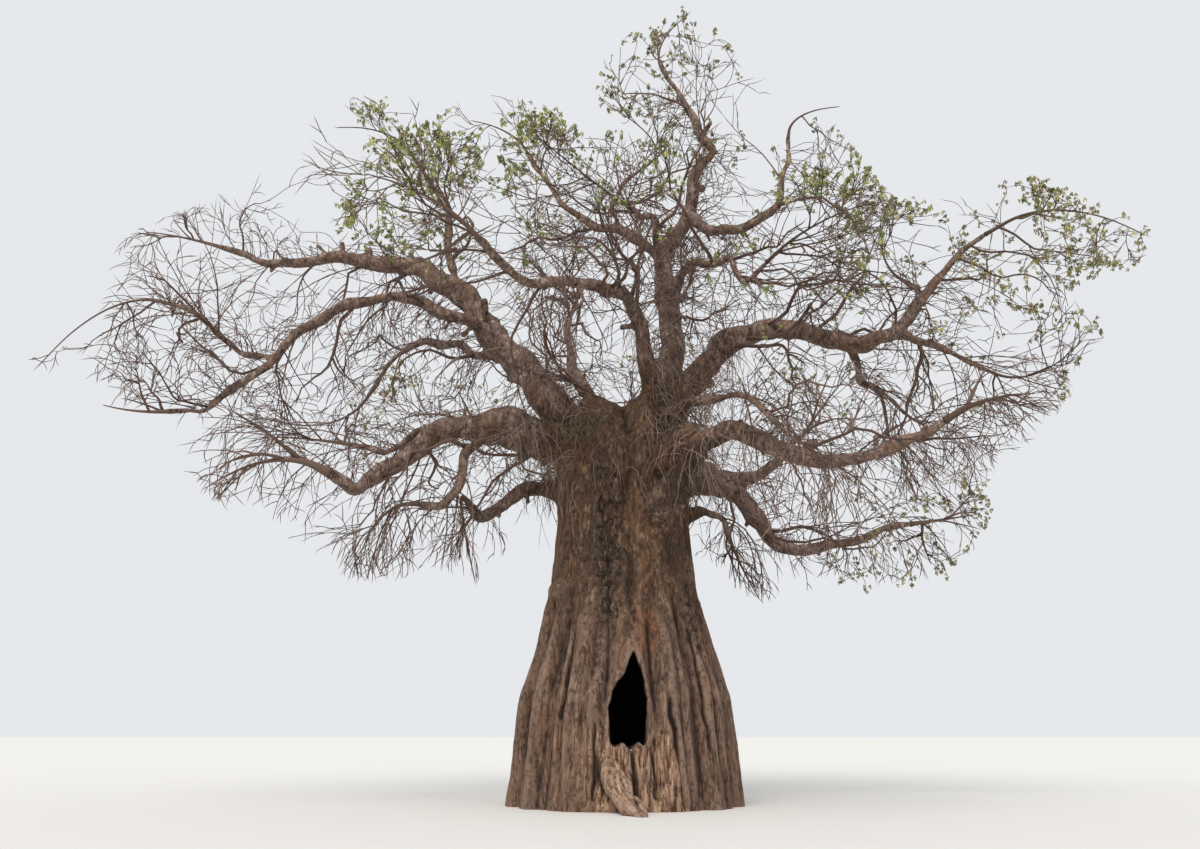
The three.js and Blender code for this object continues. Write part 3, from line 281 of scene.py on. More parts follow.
WHOLE = np.uint64(0xFFFFFFFF)
NOISE_PRIMES = np.array([73856093, 19349663, 83492791], np.uint64)
NOISE_START = 4096


def mixed_seed(seed, index):
    """A number made from a seed and an index, spread evenly over 32 bits"""
    seed = np.asarray(seed, np.uint64)
    index = np.asarray(index, np.uint64)
    bits = (seed ^ ((index + np.uint64(1)) * np.uint64(0x9E3779B1))) & WHOLE
    for shift, factor in ((16, 0x85EBCA6B), (13, 0xC2B2AE35)):
        bits = ((bits ^ (bits >> np.uint64(shift))) * np.uint64(factor)) & WHOLE
    return bits ^ (bits >> np.uint64(16))


def chance(seed, index):
    """A number from 0 to 1 for each seed and index"""
    return mixed_seed(seed, index) / 2.0**32


def scattered(seed, first, count=3, step=1):
    """Numbers from -0.5 to 0.5 for each seed, side by side"""
    return np.column_stack([chance(seed, first + k * step) - 0.5 for k in range(count)])


def mix(low, high, part):
    return low + (high - low) * part


def smooth_step(low, high, value):
    part = np.clip((value - low) / (high - low), 0, 1)
    return part * part * (3 - 2 * part)


def unit(vectors):
    vectors = np.asarray(vectors, float)
    return vectors / np.maximum(np.linalg.norm(vectors, axis=-1, keepdims=True), 1e-9)


def noise(points, scale, seed):
    """Smooth noise from -1 to 1 at points, whose lumps are 1 / scale apart along each axis"""
    scaled = np.asarray(points, float) * np.asarray(scale, float) + NOISE_START
    corner = np.floor(scaled).astype(np.uint64)
    part = scaled - corner
    part = part * part * (3 - 2 * part)
    total = np.zeros(len(scaled))
    for offset in np.ndindex(2, 2, 2):
        at = corner + np.array(offset, np.uint64)
        keyed = np.bitwise_xor.reduce(at * NOISE_PRIMES, axis=1) & WHOLE
        weight = np.prod(np.where(offset, part, 1 - part), axis=1)
        total += weight * (2 * chance(keyed, seed) - 1)
    return total


# Noises that shape the tree: strength, lumps per metre along each axis, and seed
NOISES = {
    "fold_shift": (0.7, (1.1, 1.1, 0), 11),
    "fold_wander": (0.16, (0.8, 0.8, 0.7), 12),
    "minor_strength": (0.5, (2.2, 2.2, 0.35), 13),
    "minor_wobble": (1.1, (1.6, 1.6, 0.6), 14),
    "groove_drift": (0.04, (0, 0, 0.9), 15),
    "valley": (0.45, 1.1, 16),
    "door_across": (0.09, (9, 1.5, 7), 21),
    "door_up": (0.04, (12, 1.5, 9), 22),
    "hollow": (0.05, (2.5, 2.5, 1.2), 23),
    "torn_edge": (0.16, (3.2, 3.2, 1.2), 31),
    "torn_fray": (0.12, (8, 8, 2), 32),
    "pits": (1, (8, 8, 5), 54),
    "dark_lumps": (0.02, (5.5, 5.5, 4), 55),
    "torn_splinters": (0.5, (20, 20, 4), 57),
    "crack": (0.04, (0, 0, 3), 61),
    "leaf_clumps": (1.1, 0.9, 81),
    "crown_across": (0.3, 0.8, 82),
    "crown_up": (0.3, 0.8, 83),
}


def lumps_of(name, points):
    """The noise of that name at points"""
    strength, scale, seed = NOISES[name]
    return strength * noise(points, scale, seed)


def layered_noise(points, scale, seed, layers=3):
    """Noise whose finer layers are half as strong each time, from -1 to 1"""
    scale = np.asarray(scale, float)
    sizes = [0.5**k for k in range(layers)]
    return sum(size * noise(points, scale / size, seed + k) for k, size in enumerate(sizes)) / sum(sizes)


# Curves and tubes

LINE_STEP = 0.1
CURVE_PARTS = 24


def stretches_of(points):
    """For each stretch between points: the point before it, the two at its ends and the one after it"""
    first = 2 * points[..., :1, :] - points[..., 1:2, :]
    last = 2 * points[..., -1:, :] - points[..., -2:-1, :]
    whole = np.concatenate([first, points, last], axis=-2)
    return whole[..., :-3, :], whole[..., 1:-2, :], whole[..., 2:-1, :], whole[..., 3:, :]


def cubics(here, there, slope_a, slope_b, t):
    """Places at the parts t along curves that leave here by slope_a and reach there by slope_b"""
    square = 3 * (there - here) - 2 * slope_a - slope_b
    cube = 2 * (here - there) + slope_a + slope_b
    here, slope_a, square, cube = (part[..., None, :] for part in (here, slope_a, square, cube))
    t = t[:, None]
    return here + slope_a * t + square * t**2 + cube * t**3


def curve_through(points, spacing):
    """A centripetal curve through points, as places about `spacing` apart along it"""
    points = np.asarray(points, float)
    before, here, there, after = stretches_of(points)
    steps = (here - before, there - here, after - there)
    gap_a, gap_b, gap_c = (np.sqrt(np.linalg.norm(step, axis=1))[:, None] for step in steps)
    slope_a = ((here - before) / gap_a - (there - before) / (gap_a + gap_b) + (there - here) / gap_b) * gap_b
    slope_b = ((there - here) / gap_b - (after - here) / (gap_b + gap_c) + (after - there) / gap_c) * gap_b
    dense = cubics(here, there, slope_a, slope_b, np.linspace(0, 1, CURVE_PARTS, endpoint=False))
    dense = np.vstack([dense.reshape(-1, 3), points[-1]])
    reached = np.concatenate([[0], np.cumsum(np.linalg.norm(np.diff(dense, axis=0), axis=1))])
    count = max(2, round(reached[-1] / spacing))
    wanted = np.linspace(0, reached[-1], count + 1)
    return np.column_stack([np.interp(wanted, reached, dense[:, k]) for k in range(3)])


def crooked_path(elbows, seed):
    """The elbows with one more point in the middle of each stretch, pushed a little to one side"""
    elbows = np.asarray(elbows, float)
    path = [elbows[0]]
    for i in range(1, len(elbows)):
        push = np.linalg.norm(elbows[i] - elbows[i - 1]) * CROOK
        side = (2 * chance(seed, 3 * i + np.arange(3)) - 1) * push
        path += [(elbows[i] + elbows[i - 1]) / 2 + side, elbows[i]]
    return path


def along_line(line, part):
    """The place that is the given part of the way along evenly spaced points"""
    return np.array([np.interp(part * (len(line) - 1), np.arange(len(line)), line[:, k]) for k in range(3)])


def grow_limbs():
    """Every limb with its line, length, radius along the line and seed, by name"""
    limbs = {}
    for number, (name, on, start, thick, elbows) in enumerate(LIMBS):
        if on != "trunk":
            start = along_line(limbs[on]["line"], start)
        line = curve_through(crooked_path([start, *elbows], number + 1), LINE_STEP)
        length = np.linalg.norm(np.diff(line, axis=0), axis=1).sum()
        along = np.linspace(0, 1, len(line))
        bends = [layered_noise(line, WIGGLE["per_metre"], 300 + 3 * number + k, 2) for k in range(3)]
        line = line + np.column_stack(bends) * (WIGGLE["wide"] * np.sin(math.pi * along))[:, None]
        flare = ROOT_FLARE["trunk" if on == "trunk" else "limb"]
        swell = 1 + flare * np.exp(-along * length / (ROOT_FLARE["run"] * thick[0]))
        radius = mix(thick[0], thick[1], along) * swell
        limbs[name] = dict(name=name, on=on, line=line, length=length, radius=radius, seed=number + 1)
    return limbs


def square_to(directions):
    """Some direction square to each one given"""
    steep = np.abs(directions[..., 2:3]) > 0.9
    other = np.where(steep, np.array([1.0, 0.0, 0.0]), UP)
    return unit(np.cross(directions, other))


def ring_frames(line):
    """Two directions square to a line at each of its points, which don't twist along it"""
    steps = unit(np.diff(line, axis=0))
    forward = unit(np.vstack([steps[:1], steps[:-1] + steps[1:], steps[-1:]]))
    aside = [square_to(forward[0])]
    for way in forward[1:]:
        aside.append(unit(aside[-1] - way * np.dot(aside[-1], way)))
    aside = np.array(aside)
    return aside, np.cross(forward, aside)


def ring_quads(count, sides):
    """Quads between rings of points one after another, and the rings' points with the next ones round"""
    grid = np.arange(count * sides).reshape(count, sides)
    after = np.roll(grid, -1, axis=1)
    return np.stack([grid[:-1], after[:-1], after[1:], grid[1:]], axis=-1).reshape(-1, 4), grid, after


def ring_faces(count, sides):
    """The quads between rings, and triangles that close the first and the last ring on the two points
    that come after all the rings"""
    quads, grid, after = ring_quads(count, sides)
    first = count * sides
    caps = [[first, b, a] for a, b in zip(grid[0], after[0])]
    caps += [[first + 1, a, b] for a, b in zip(grid[-1], after[-1])]
    return quads, np.array(caps)


def closed_tube(line, radius, sides):
    """Points, quads and triangles of a tube along a line, closed at both ends"""
    aside, across = ring_frames(line)
    turn = np.linspace(0, 2 * math.pi, sides, endpoint=False)
    ring = aside[:, None] * np.cos(turn)[None, :, None] + across[:, None] * np.sin(turn)[None, :, None]
    points = line[:, None] + ring * np.asarray(radius)[:, None, None]
    points = np.vstack([points.reshape(-1, 3), line[0], line[-1]])
    return points, *ring_faces(len(line), sides)


def new_mesh(name, points, quads=(), triangles=(), tones=None):
    """A mesh of quads and triangles, whose faces take their materials from `tones`"""
    quads = np.asarray(quads, np.int32).reshape(-1, 4)
    triangles = np.asarray(triangles, np.int32).reshape(-1, 3)
    corners = np.concatenate([quads.ravel(), triangles.ravel()])
    starts = np.concatenate([np.arange(len(quads)) * 4, len(quads) * 4 + np.arange(len(triangles)) * 3])
    mesh = bpy.data.meshes.new(name)
    mesh.vertices.add(len(points))
    mesh.vertices.foreach_set("co", np.ascontiguousarray(points, np.float32).ravel())
    mesh.loops.add(len(corners))
    mesh.loops.foreach_set("vertex_index", corners.astype(np.int32))
    mesh.polygons.add(len(starts))
    mesh.polygons.foreach_set("loop_start", starts.astype(np.int32))
    if tones is not None:
        mesh.polygons.foreach_set("material_index", np.asarray(tones, np.int32))
    mesh.update(calc_edges=True)
    mesh.shade_smooth()
    return mesh


def new_object(name, mesh):
    made = bpy.data.objects.new(name, mesh)
    bpy.context.scene.collection.objects.link(made)
    return made


# Trunk

TRUNK_GRID = (560, 150)
HOLLOW_GRID = (48, 31)
DOOR_SLICES = 10
DOOR_PARTS = 6
BELOW_GROUND = 0.12
VALLEY = {"deep": 0.8, "wide": 0.5, "from": 8.2}
PROFILE_HEIGHTS = np.linspace(-0.5, TRUNK_TOP + 0.5, 221)
PROFILE_BLUR = 9


def smooth_profile():
    """The trunk's half width at each of the profile's heights, without corners"""
    widths = np.interp(PROFILE_HEIGHTS, TRUNK_LEVELS, TRUNK_WIDTHS)
    window = np.hanning(PROFILE_BLUR + 2)[1:-1]
    padded = np.pad(widths, PROFILE_BLUR // 2, mode="edge")
    return np.convolve(padded, window / window.sum(), mode="valid")


PROFILE_WIDTHS = smooth_profile()


def trunk_half_width(height):
    return np.interp(height, PROFILE_HEIGHTS, PROFILE_WIDTHS)


def round_places(angle, height):
    """Places for noise that runs round the trunk without a seam"""
    return np.column_stack([np.cos(angle) * 2, np.sin(angle) * 2, height])


def waves(angle, rows, start=0):
    """A start with waves round the trunk added to it"""
    return sum((size * np.sin(number * angle + first) for size, number, first in rows), start)


def fold_depth(angle, height):
    """How far the folds and grooves cut in at each place round the trunk"""
    places = round_places(angle, height)
    shift = lumps_of("fold_shift", places)
    drift = waves(angle, FOLD_WAVES)
    wander = lumps_of("fold_wander", places)
    height_part = smooth_step(FOLDS["low"] + shift, FOLDS["high"] + shift, height)
    deep = mix(FOLDS["deep"], FOLDS["shallow"], height_part)
    fold = deep * (1 - np.abs(np.sin((FOLDS["count"] * angle + drift) / 2 + wander)))
    narrow = waves(angle, MINOR_WAVES, MINOR_FOLDS["count"] * angle)
    lowness = 1 - smooth_step(MINOR_FOLDS["low"] + shift, MINOR_FOLDS["high"] + shift, height)
    strength = 0.5 + 0.5 * (0.5 + lumps_of("minor_strength", places))
    ridge = 1 - np.abs(np.sin(narrow / 2 + lumps_of("minor_wobble", places)))
    total = fold + MINOR_FOLDS["deep"] * lowness * strength * ridge ** MINOR_FOLDS["sharp"]
    across = TRUNK_AXIS + trunk_half_width(height) * np.cos(angle)
    flat = smooth_step(*APRON["left"], across) * (1 - smooth_step(*APRON["right"], across))
    flat *= (1 - smooth_step(*APRON["top"], height)) * (np.sin(angle) < 0)
    total = mix(total, APRON["depth"], APRON["flat"] * flat)
    for middle, width, depth, low, high in GROOVES:
        away = (angle - middle + lumps_of("groove_drift", places) + math.pi) % (2 * math.pi) - math.pi
        total = total + depth * np.exp(-((away / width) ** 2)) * smooth_step(low, high, height)
    return total


def trunk_mesh_arrays():
    """The folded trunk without its hollow, as points, quads and triangles"""
    sides, levels = TRUNK_GRID
    angle, height = np.meshgrid(
        np.linspace(-math.pi, math.pi, sides, endpoint=False),
        np.linspace(-BELOW_GROUND, TRUNK_TOP, levels),
    )
    angle = angle.ravel()
    height = height.ravel()
    radius = trunk_half_width(height) - fold_depth(angle, height)
    valley = VALLEY["deep"] * np.exp(-((radius * np.cos(angle) / VALLEY["wide"]) ** 2))
    valley += lumps_of("valley", round_places(angle, 0 * height))
    points = np.column_stack([
        TRUNK_AXIS + radius * np.cos(angle),
        radius * np.sin(angle) * TRUNK_DEPTH,
        height - valley * smooth_step(VALLEY["from"], TRUNK_TOP, height),
    ])
    points = np.vstack([points, [TRUNK_AXIS, 0, -BELOW_GROUND], [TRUNK_AXIS, 0, TRUNK_TOP]])
    return points, *ring_faces(levels, sides)


def door_cutter():
    """A bar with the doorway's ragged outline, through the front wall of the trunk"""
    outline = np.array(DOOR, float)
    after = np.roll(outline, -1, axis=0)
    parts = np.linspace(0, 1, DOOR_PARTS, endpoint=False)[None, :, None]
    fine = (outline[:, None] + (after - outline)[:, None] * parts).reshape(-1, 2)
    middle = fine.mean(axis=0)
    slices = []
    for y in np.linspace(DOOR_FROM, DOOR_TO, DOOR_SLICES):
        at = np.column_stack([fine[:, 0], np.full(len(fine), y), fine[:, 1]])
        across = 1 + lumps_of("door_across", at)
        up = 1 + lumps_of("door_up", at)
        slices.append(np.column_stack([
            middle[0] + (fine[:, 0] - middle[0]) * across,
            at[:, 1],
            middle[1] + (fine[:, 1] - middle[1]) * up,
        ]))
    ends = [[middle[0], DOOR_FROM, middle[1]], [middle[0], DOOR_TO, middle[1]]]
    return new_mesh("door_cutter", np.vstack([*slices, ends]), *ring_faces(DOOR_SLICES, len(fine)))


def hollow_cutter():
    """The room inside the trunk: a lumpy ball with a level floor"""
    sides, levels = HOLLOW_GRID
    turn, rise = np.meshgrid(
        np.linspace(0, 2 * math.pi, sides, endpoint=False),
        np.linspace(-1, 1, levels + 2)[1:-1],
    )
    turn = turn.ravel()
    rise = np.sin(rise.ravel() * math.pi / 2)
    round_part = np.sqrt(1 - rise**2)
    points = np.column_stack([np.cos(turn) * round_part, np.sin(turn) * round_part, rise])
    points = np.vstack([points, [0, 0, -1], [0, 0, 1]])
    points *= 1 + lumps_of("hollow", points)[:, None]
    points *= [HOLLOW["wide"], HOLLOW["deep"], HOLLOW["tall"]]
    points += [HOLLOW["x"], HOLLOW["y"], HOLLOW["middle"]]
    points[:, 2] = np.maximum(points[:, 2], HOLLOW["floor"])
    return new_mesh("hollow_cutter", points, *ring_faces(levels, sides))


# Bark

VOXEL = 0.037
LIMB_SIDES = 18
BATCH = 20000
# How the surface is smoothed: how many times and how strongly at the forks and all over, and how far a
# fork reaches, in radii of its limb
FORK_STEPS = 60
FORK_SMOOTHING = 0.6
FORK_REACH = (1.0, 2.6)
SMOOTHING = 0.3
# How far from its surroundings the surface has to lie to count as a cavity or a ridge
CAVITY_STEPS = 30
CAVITY_SMOOTHING = 0.7
CAVITY_DEPTH = 0.05
BUTTRESS = {"on": 5, "down": (0.35, 1.3, 2.4), "thick": (0.5, 0.78, 0.4), "sunk": 0.62}
WEB_POINTS = 12
# The owners of the trunk's faces, below and above the height where its two pieces meet
TRUNK_SPLIT = 3.5
FOOT_OWNER = -1
TOP_OWNER = -2
# How thick a limb has to be for the bark's full relief, and the part of it that the thinnest one has
FULL_RELIEF = 0.28
LEAST_RELIEF = 0.5
STUBS = {"every": 0.9, "from": 0.12, "to": 0.97, "long": (0.05, 0.4), "thin": (0.2, 0.5), "most": 0.11}
STUB_PROFILE = np.array([1.5, 1.15, 1, 0.95, 1.02, 0.8])
STUB_SIDES = 10
# The swellings of a limb: strength, how many a metre, and seed
KNOBS = [(0.08, 0.55, 100), (0.12, 2.1, 200)]
# How the patches' edges are worn, and where they fade out
PATCH = {"per_metre": 3.2, "layers": 4, "fade": (0.55, 1.25)}
# How far the bark stands out on the upper trunk, at the foot and on the boughs, where the third number
# of the fibres is the share of them that the boughs lack
RELIEF = {"lumps": (0.05, 0.035, 0.07), "rough": (0.03, 0.014, 0.05), "fibres": (0.009, 0.012, 0.6)}
# The heights between which the foot's bark passes into the upper trunk's
FOOT_BELOW = (2.4, 5.0)
# What the dark patches, the torn wood and the walls of the hollow add or take away
DARK_ROUGH = 0.03
PIT_DEPTH = 0.06
TORN_RELIEF = {"fibres": 0.05, "sunk": 0.04, "spur": 0.03}
INSIDE_RELIEF = 0.5
# The layered noises of the relief: how many lumps a metre along each axis, and seed
LAYERS = {
    "lumps": ((1.5, 1.5, 0.9), 51), "rough": ((5, 5, 2.6), 52), "fibres": ((11, 11, 0.9), 53),
    "torn": ((13, 13, 1.5), 56), "spur": ((13, 13, 1.5), 58),
}
# The seed of a burl's edge and how ragged it is
BURL_EDGE = (62, 0.25)
# The stretches over which the marks on the bark pass from nothing to full or back
MARKED = {
    "bough": (0.05, 0.9), "inside": (0.4, 0.75), "spur": (-2.62, -2.5), "torn": (-0.03, 0.05),
    "faint": (-1.0, -0.4),
}
# How much of the boughs' look shows at the fork, and the heights below which the spur and the hollow lie
BOUGH_AT_FORK = 0.3
SPUR_BELOW = 1.0
INSIDE_BELOW = 4.6
# How far the tear's right edge leans in for each metre up, and how far to the front tear and cracks lie
TORN_LEAN = 0.2
TORN_FRONT = -0.5
CRACK_FRONT = -1.2
# The lengths over which a crack fades beyond its ends, and below its upper one
CRACK_END = 0.1
CRACK_FADE = 0.6
# How the spur's strands wander and swell, and how far the outer ones lie back
STRAND_WANDER = (0.03, 1.6, 63)
STRAND_KNOBS = (0.15, 2.2, 66)
STRANDS_BACK = 0.3
# How far forward a stub leans, and how far it bends up or down
STUB_ONWARD = (0.2, 0.9)
STUB_BEND = 0.3
STUB_DROOPING = 0.4
SMOOTH_LIMBS = ("spur_right_upper", "limb_right_stub", "limb_top_middle")
FORK = (0.4, -0.6, 8.6)
FORK_TONE = (1.4, 3.4)
# The edge of the torn bark round the doorway's sill, and how strong the tear is at its faint left end
TORN = {
    "across": [-1.9, -0.9, -0.35, 0.1, 0.6, 0.85, 1.2],
    "up": [1.5, 1.95, 1.65, 1.36, 1.4, 1.68, 1.2],
    "left": -1.75,
    "right": 1.42,
    "faint": 0.3,
}
# Patches on the bark: mark, middle, half size, seed, how ragged it is and how strong
PATCHES = [
    ("rust", (0.5, -1.95, 3.85), (0.3, 1.0, 0.6), 41, 0.9, 1),
    ("rust", (0.62, -1.75, 5.2), (0.2, 0.9, 0.75), 43, 0.9, 0.5),
    ("rust", (0.95, -2.3, 7.75), (0.4, 0.9, 0.45), 44, 0.9, 0.5),
    ("rust", (-1.4, -0.9, 8.3), (0.9, 1.0, 0.5), 45, 0.9, 0.3),
    ("rust", (1.7, -2.5, 8.15), (0.8, 0.9, 0.3), 39, 0.7, 0.7),
    ("rust", (-1.08, -1.75, 6.6), (0.3, 0.7, 0.2), 37, 0.5, 0.6),
    ("dark", (-0.3, -1.75, 6.3), (0.38, 1.3, 2.7), 42, 0.35, 1),
    ("dark", (1.85, -1.3, 4.3), (0.5, 1.0, 0.9), 46, 0.4, 0.9),
    ("dark", (-1.3, -0.9, 8.9), (0.9, 1.0, 0.6), 47, 0.4, 0.6),
    ("moss", (-1.1, -1.1, 8.9), (0.8, 1.2, 0.5), 49, 0.9, 1),
    ("moss", (0.5, -0.8, 9.6), (0.5, 1.2, 0.6), 38, 0.9, 0.7),
    ("speckled", (-0.3, -1.75, 6.3), (0.38, 1.3, 2.7), 42, 0.35, 1),
    # The two "deep" patches are painted shadow under the collar of bough_right_middle, where it runs down
    # into the trunk
    ("deep", (1.3, -2.2, 7.25), (0.45, 0.9, 0.65), 48, 0.4, 1),
    ("deep", (2.1, -2.85, 7.7), (1.2, 0.9, 0.36), 40, 0.4, 0.9),
]
# Burls: middle and size. Cracks down the front: top and foot, across and up, half width and depth.
BURLS = [((-1.11, -1.9, 6.74), 0.24), ((-1.58, -1.0, 4.87), 0.3), ((1.75, -0.9, 5.6), 0.22)]
BURL_RELIEF = 0.16
CRACKS = [
    (((0.12, 1.4), (0.3, 0.25)), 0.05, 0.14),
    (((0.98, 2.6), (1.38, 0.0)), 0.05, 0.16),
    (((0.62, 1.5), (0.7, 0.3)), 0.03, 0.07),
    (((-0.62, 2.1), (-0.66, 0.2)), 0.04, 0.1),
    (((-1.0, 4.6), (-1.35, 1.9)), 0.04, 0.1),
    (((1.5, 4.4), (1.95, 1.2)), 0.04, 0.1),
]


def arrays_of(mesh):
    """The points of a mesh, and the corners of its faces one after another"""
    points = np.empty(len(mesh.vertices) * 3, np.float32)
    mesh.vertices.foreach_get("co", points)
    corners = np.empty(len(mesh.loops), np.int32)
    mesh.loops.foreach_get("vertex_index", corners)
    return points.reshape(-1, 3).astype(float), corners


def evaluated_mesh(piece):
    shown = piece.evaluated_get(bpy.context.evaluated_depsgraph_get())
    return bpy.data.meshes.new_from_object(shown)


def drop(*pieces):
    for piece in pieces:
        bpy.data.objects.remove(piece)


def joined_arrays(parts):
    """Several (points, quads, triangles) as one"""
    offsets = np.cumsum([0] + [len(points) for points, _, _ in parts])
    points = np.vstack([points for points, _, _ in parts])
    quads = np.vstack([np.reshape(quads, (-1, 4)) + start for (_, quads, _), start in zip(parts, offsets)])
    triangles = np.vstack([np.reshape(tris, (-1, 3)) + start for (_, _, tris), start in zip(parts, offsets)])
    return points, quads.astype(int), triangles.astype(int)


def hollow_trunk():
    """The trunk with its hollow and doorway cut out, as points and triangles"""
    trunk = new_object("trunk_core", new_mesh("trunk_core", *trunk_mesh_arrays()))
    tools = [new_object("cutter", mesh) for mesh in (hollow_cutter(), door_cutter())]
    for tool in tools:
        cut = trunk.modifiers.new("cut", "BOOLEAN")
        cut.operation = "DIFFERENCE"
        cut.solver = "MANIFOLD"
        cut.object = tool
    bpy.context.view_layer.update()
    mesh = evaluated_mesh(trunk)
    mesh.calc_loop_triangles()
    triangles = np.empty(len(mesh.loop_triangles) * 3, np.int32)
    mesh.loop_triangles.foreach_get("vertices", triangles)
    points = arrays_of(mesh)[0]
    drop(trunk, *tools)
    return points, np.empty((0, 4)), triangles.reshape(-1, 3)


def knobbly(limb):
    """The limb's radius with the swellings that a real one has"""
    run = np.arange(len(limb["line"])) * LINE_STEP
    places = np.column_stack([run, run * 0, run * 0])
    knobs = (size * noise(places, per_metre, seed + limb["seed"]) for size, per_metre, seed in KNOBS)
    return limb["radius"] * sum(knobs, 1)


def stubs_on(limb):
    """Short broken branches that stand out of a limb"""
    count = int(limb["length"] / STUBS["every"])
    parts = []
    for number in range(count):
        seed = mixed_seed(500 + limb["seed"], number)
        along = mix(STUBS["from"], STUBS["to"], (number + chance(seed, 1)) / count)
        at = int(along * (len(limb["line"]) - 2))
        forward = unit(limb["line"][at + 1] - limb["line"][at])
        aside = square_to(forward)
        turn = 2 * math.pi * chance(seed, 2)
        out = aside * math.cos(turn) + np.cross(forward, aside) * math.sin(turn)
        way = unit(out + forward * mix(*STUB_ONWARD, chance(seed, 3)))
        radius = min(STUBS["most"], limb["radius"][at] * mix(*STUBS["thin"], chance(seed, 4)))
        long = limb["radius"][at] + mix(*STUBS["long"], chance(seed, 5))
        steps = np.linspace(0, 1, len(STUB_PROFILE))[:, None]
        bend = UP * (chance(seed, 6) - STUB_DROOPING) * STUB_BEND
        line = limb["line"][at] + way * long * steps + bend * long * steps**2
        parts.append(closed_tube(line, radius * STUB_PROFILE, STUB_SIDES))
    return parts


def leaves_parent(limb, limbs):
    """The number of the point on a limb's line where it comes out of what it grows from"""
    if limb["on"] == "trunk":
        outside = trunk_gap(limb["line"]) > 0
    else:
        parent = limbs[limb["on"]]
        gaps = np.linalg.norm(limb["line"][:, None] - parent["line"][None], axis=2) - parent["radius"]
        outside = gaps.min(axis=1) > 0
    return int(np.argmax(outside))


def buttress(limb):
    """A ridge that runs from under a bough's root down into the trunk"""
    at = leaves_parent(limb, None)
    out = limb["line"][at]
    onward = limb["line"][min(at + BUTTRESS["on"], len(limb["line"]) - 1)]
    level = unit((out - (TRUNK_AXIS, 0, 0)) * (1, 1, 0))
    thick = limb["radius"][at]
    places = [onward]
    for drop_by in BUTTRESS["down"]:
        height = out[2] - drop_by
        reach = trunk_half_width(height) * math.hypot(level[0], level[1] * TRUNK_DEPTH)
        reach -= thick * BUTTRESS["sunk"]
        places.append([TRUNK_AXIS + level[0] * reach, level[1] * reach, height])
    line = curve_through(places, LINE_STEP)
    radius = thick * np.interp(np.linspace(0, 1, len(line)), [0, 0.3, 1], BUTTRESS["thick"])
    return closed_tube(line, radius, LIMB_SIDES)


def remeshed(parts):
    """The parts fused into one surface of small quads"""
    rough = new_object("rough_bark", new_mesh("rough_bark", *joined_arrays(parts)))
    remesh = rough.modifiers.new("fuse", "REMESH")
    remesh.mode = "VOXEL"
    remesh.voxel_size = VOXEL
    bpy.context.view_layer.update()
    points, corners = arrays_of(evaluated_mesh(rough))
    drop(rough)
    return points, corners.reshape(-1, 4)


class Neighbours:
    """The average of the points round each point of a mesh of quads"""

    def __init__(self, quads, count):
        self.here = quads.ravel()
        self.there = np.roll(quads, -1, axis=1).ravel()
        self.count = count
        self.degree = np.maximum(np.bincount(self.here, minlength=count), 1)

    def mean(self, values):
        if values.ndim == 1:
            return np.bincount(self.here, values[self.there], self.count) / self.degree
        return np.column_stack([self.mean(values[:, k]) for k in range(values.shape[1])])


def point_normals(points, quads):
    a, b, c, d = (points[quads[:, k]] for k in range(4))
    faces = np.cross(c - a, d - b)
    count = len(points)
    total = [sum(np.bincount(quads[:, k], faces[:, axis], count) for k in range(4)) for axis in range(3)]
    return unit(np.column_stack(total))


class Limbs:
    """Every limb's line as balls along it, for finding the nearest one to many places at once"""

    def __init__(self, limbs):
        self.centres = np.vstack([limb["line"] for limb in limbs.values()]).astype(np.float32)
        self.radius = np.concatenate([limb["radius"] for limb in limbs.values()]).astype(np.float32)
        self.owner = np.concatenate([np.full(len(limb["line"]), i) for i, limb in enumerate(limbs.values())])

    def nearest(self, points):
        """How far each place is outside the nearest limb, and the number of the ball nearest to it"""
        away = np.empty(len(points))
        ball = np.empty(len(points), int)
        squares = (self.centres**2).sum(axis=1)
        for start in range(0, len(points), BATCH):
            some = points[start:start + BATCH].astype(np.float32)
            square = (some**2).sum(axis=1)[:, None] + squares - 2 * some @ self.centres.T
            gap = np.sqrt(np.maximum(square, 0)) - self.radius
            best = gap.argmin(axis=1)
            away[start:start + BATCH] = gap[np.arange(len(some)), best]
            ball[start:start + BATCH] = best
        return away, ball


def trunk_gap(points):
    """How far each place is outside the trunk"""
    height = np.clip(points[:, 2], 0, TRUNK_TOP)
    across = np.hypot(points[:, 0] - TRUNK_AXIS, points[:, 1] / TRUNK_DEPTH) - trunk_half_width(height)
    return np.where(points[:, 2] > TRUNK_TOP, np.maximum(across, points[:, 2] - TRUNK_TOP), across)


def fork_mask(points, limbs):
    """Where the surface is smoothed: round the places where limbs part"""
    mask = np.zeros(len(points))
    for limb in limbs.values():
        at = leaves_parent(limb, limbs)
        away = np.linalg.norm(points - limb["line"][at], axis=1) / limb["radius"][at]
        mask = np.maximum(mask, 1 - smooth_step(*FORK_REACH, away))
    return mask


def patch(points, centre, size, seed, ragged):
    """1 inside a ragged egg-shaped patch, and 0 outside it"""
    away = np.linalg.norm((points - np.array(centre)) / np.array(size), axis=1)
    away += ragged * layered_noise(points, PATCH["per_metre"], seed, PATCH["layers"])
    return 1 - smooth_step(*PATCH["fade"], away)


def spur_axes():
    """Three directions square to each other, the last of which runs down the root spur"""
    down = unit(np.array(SPUR[-1]) - np.array(SPUR[-3]))
    aside = square_to(down)
    return np.column_stack([np.cross(aside, down), aside, down])


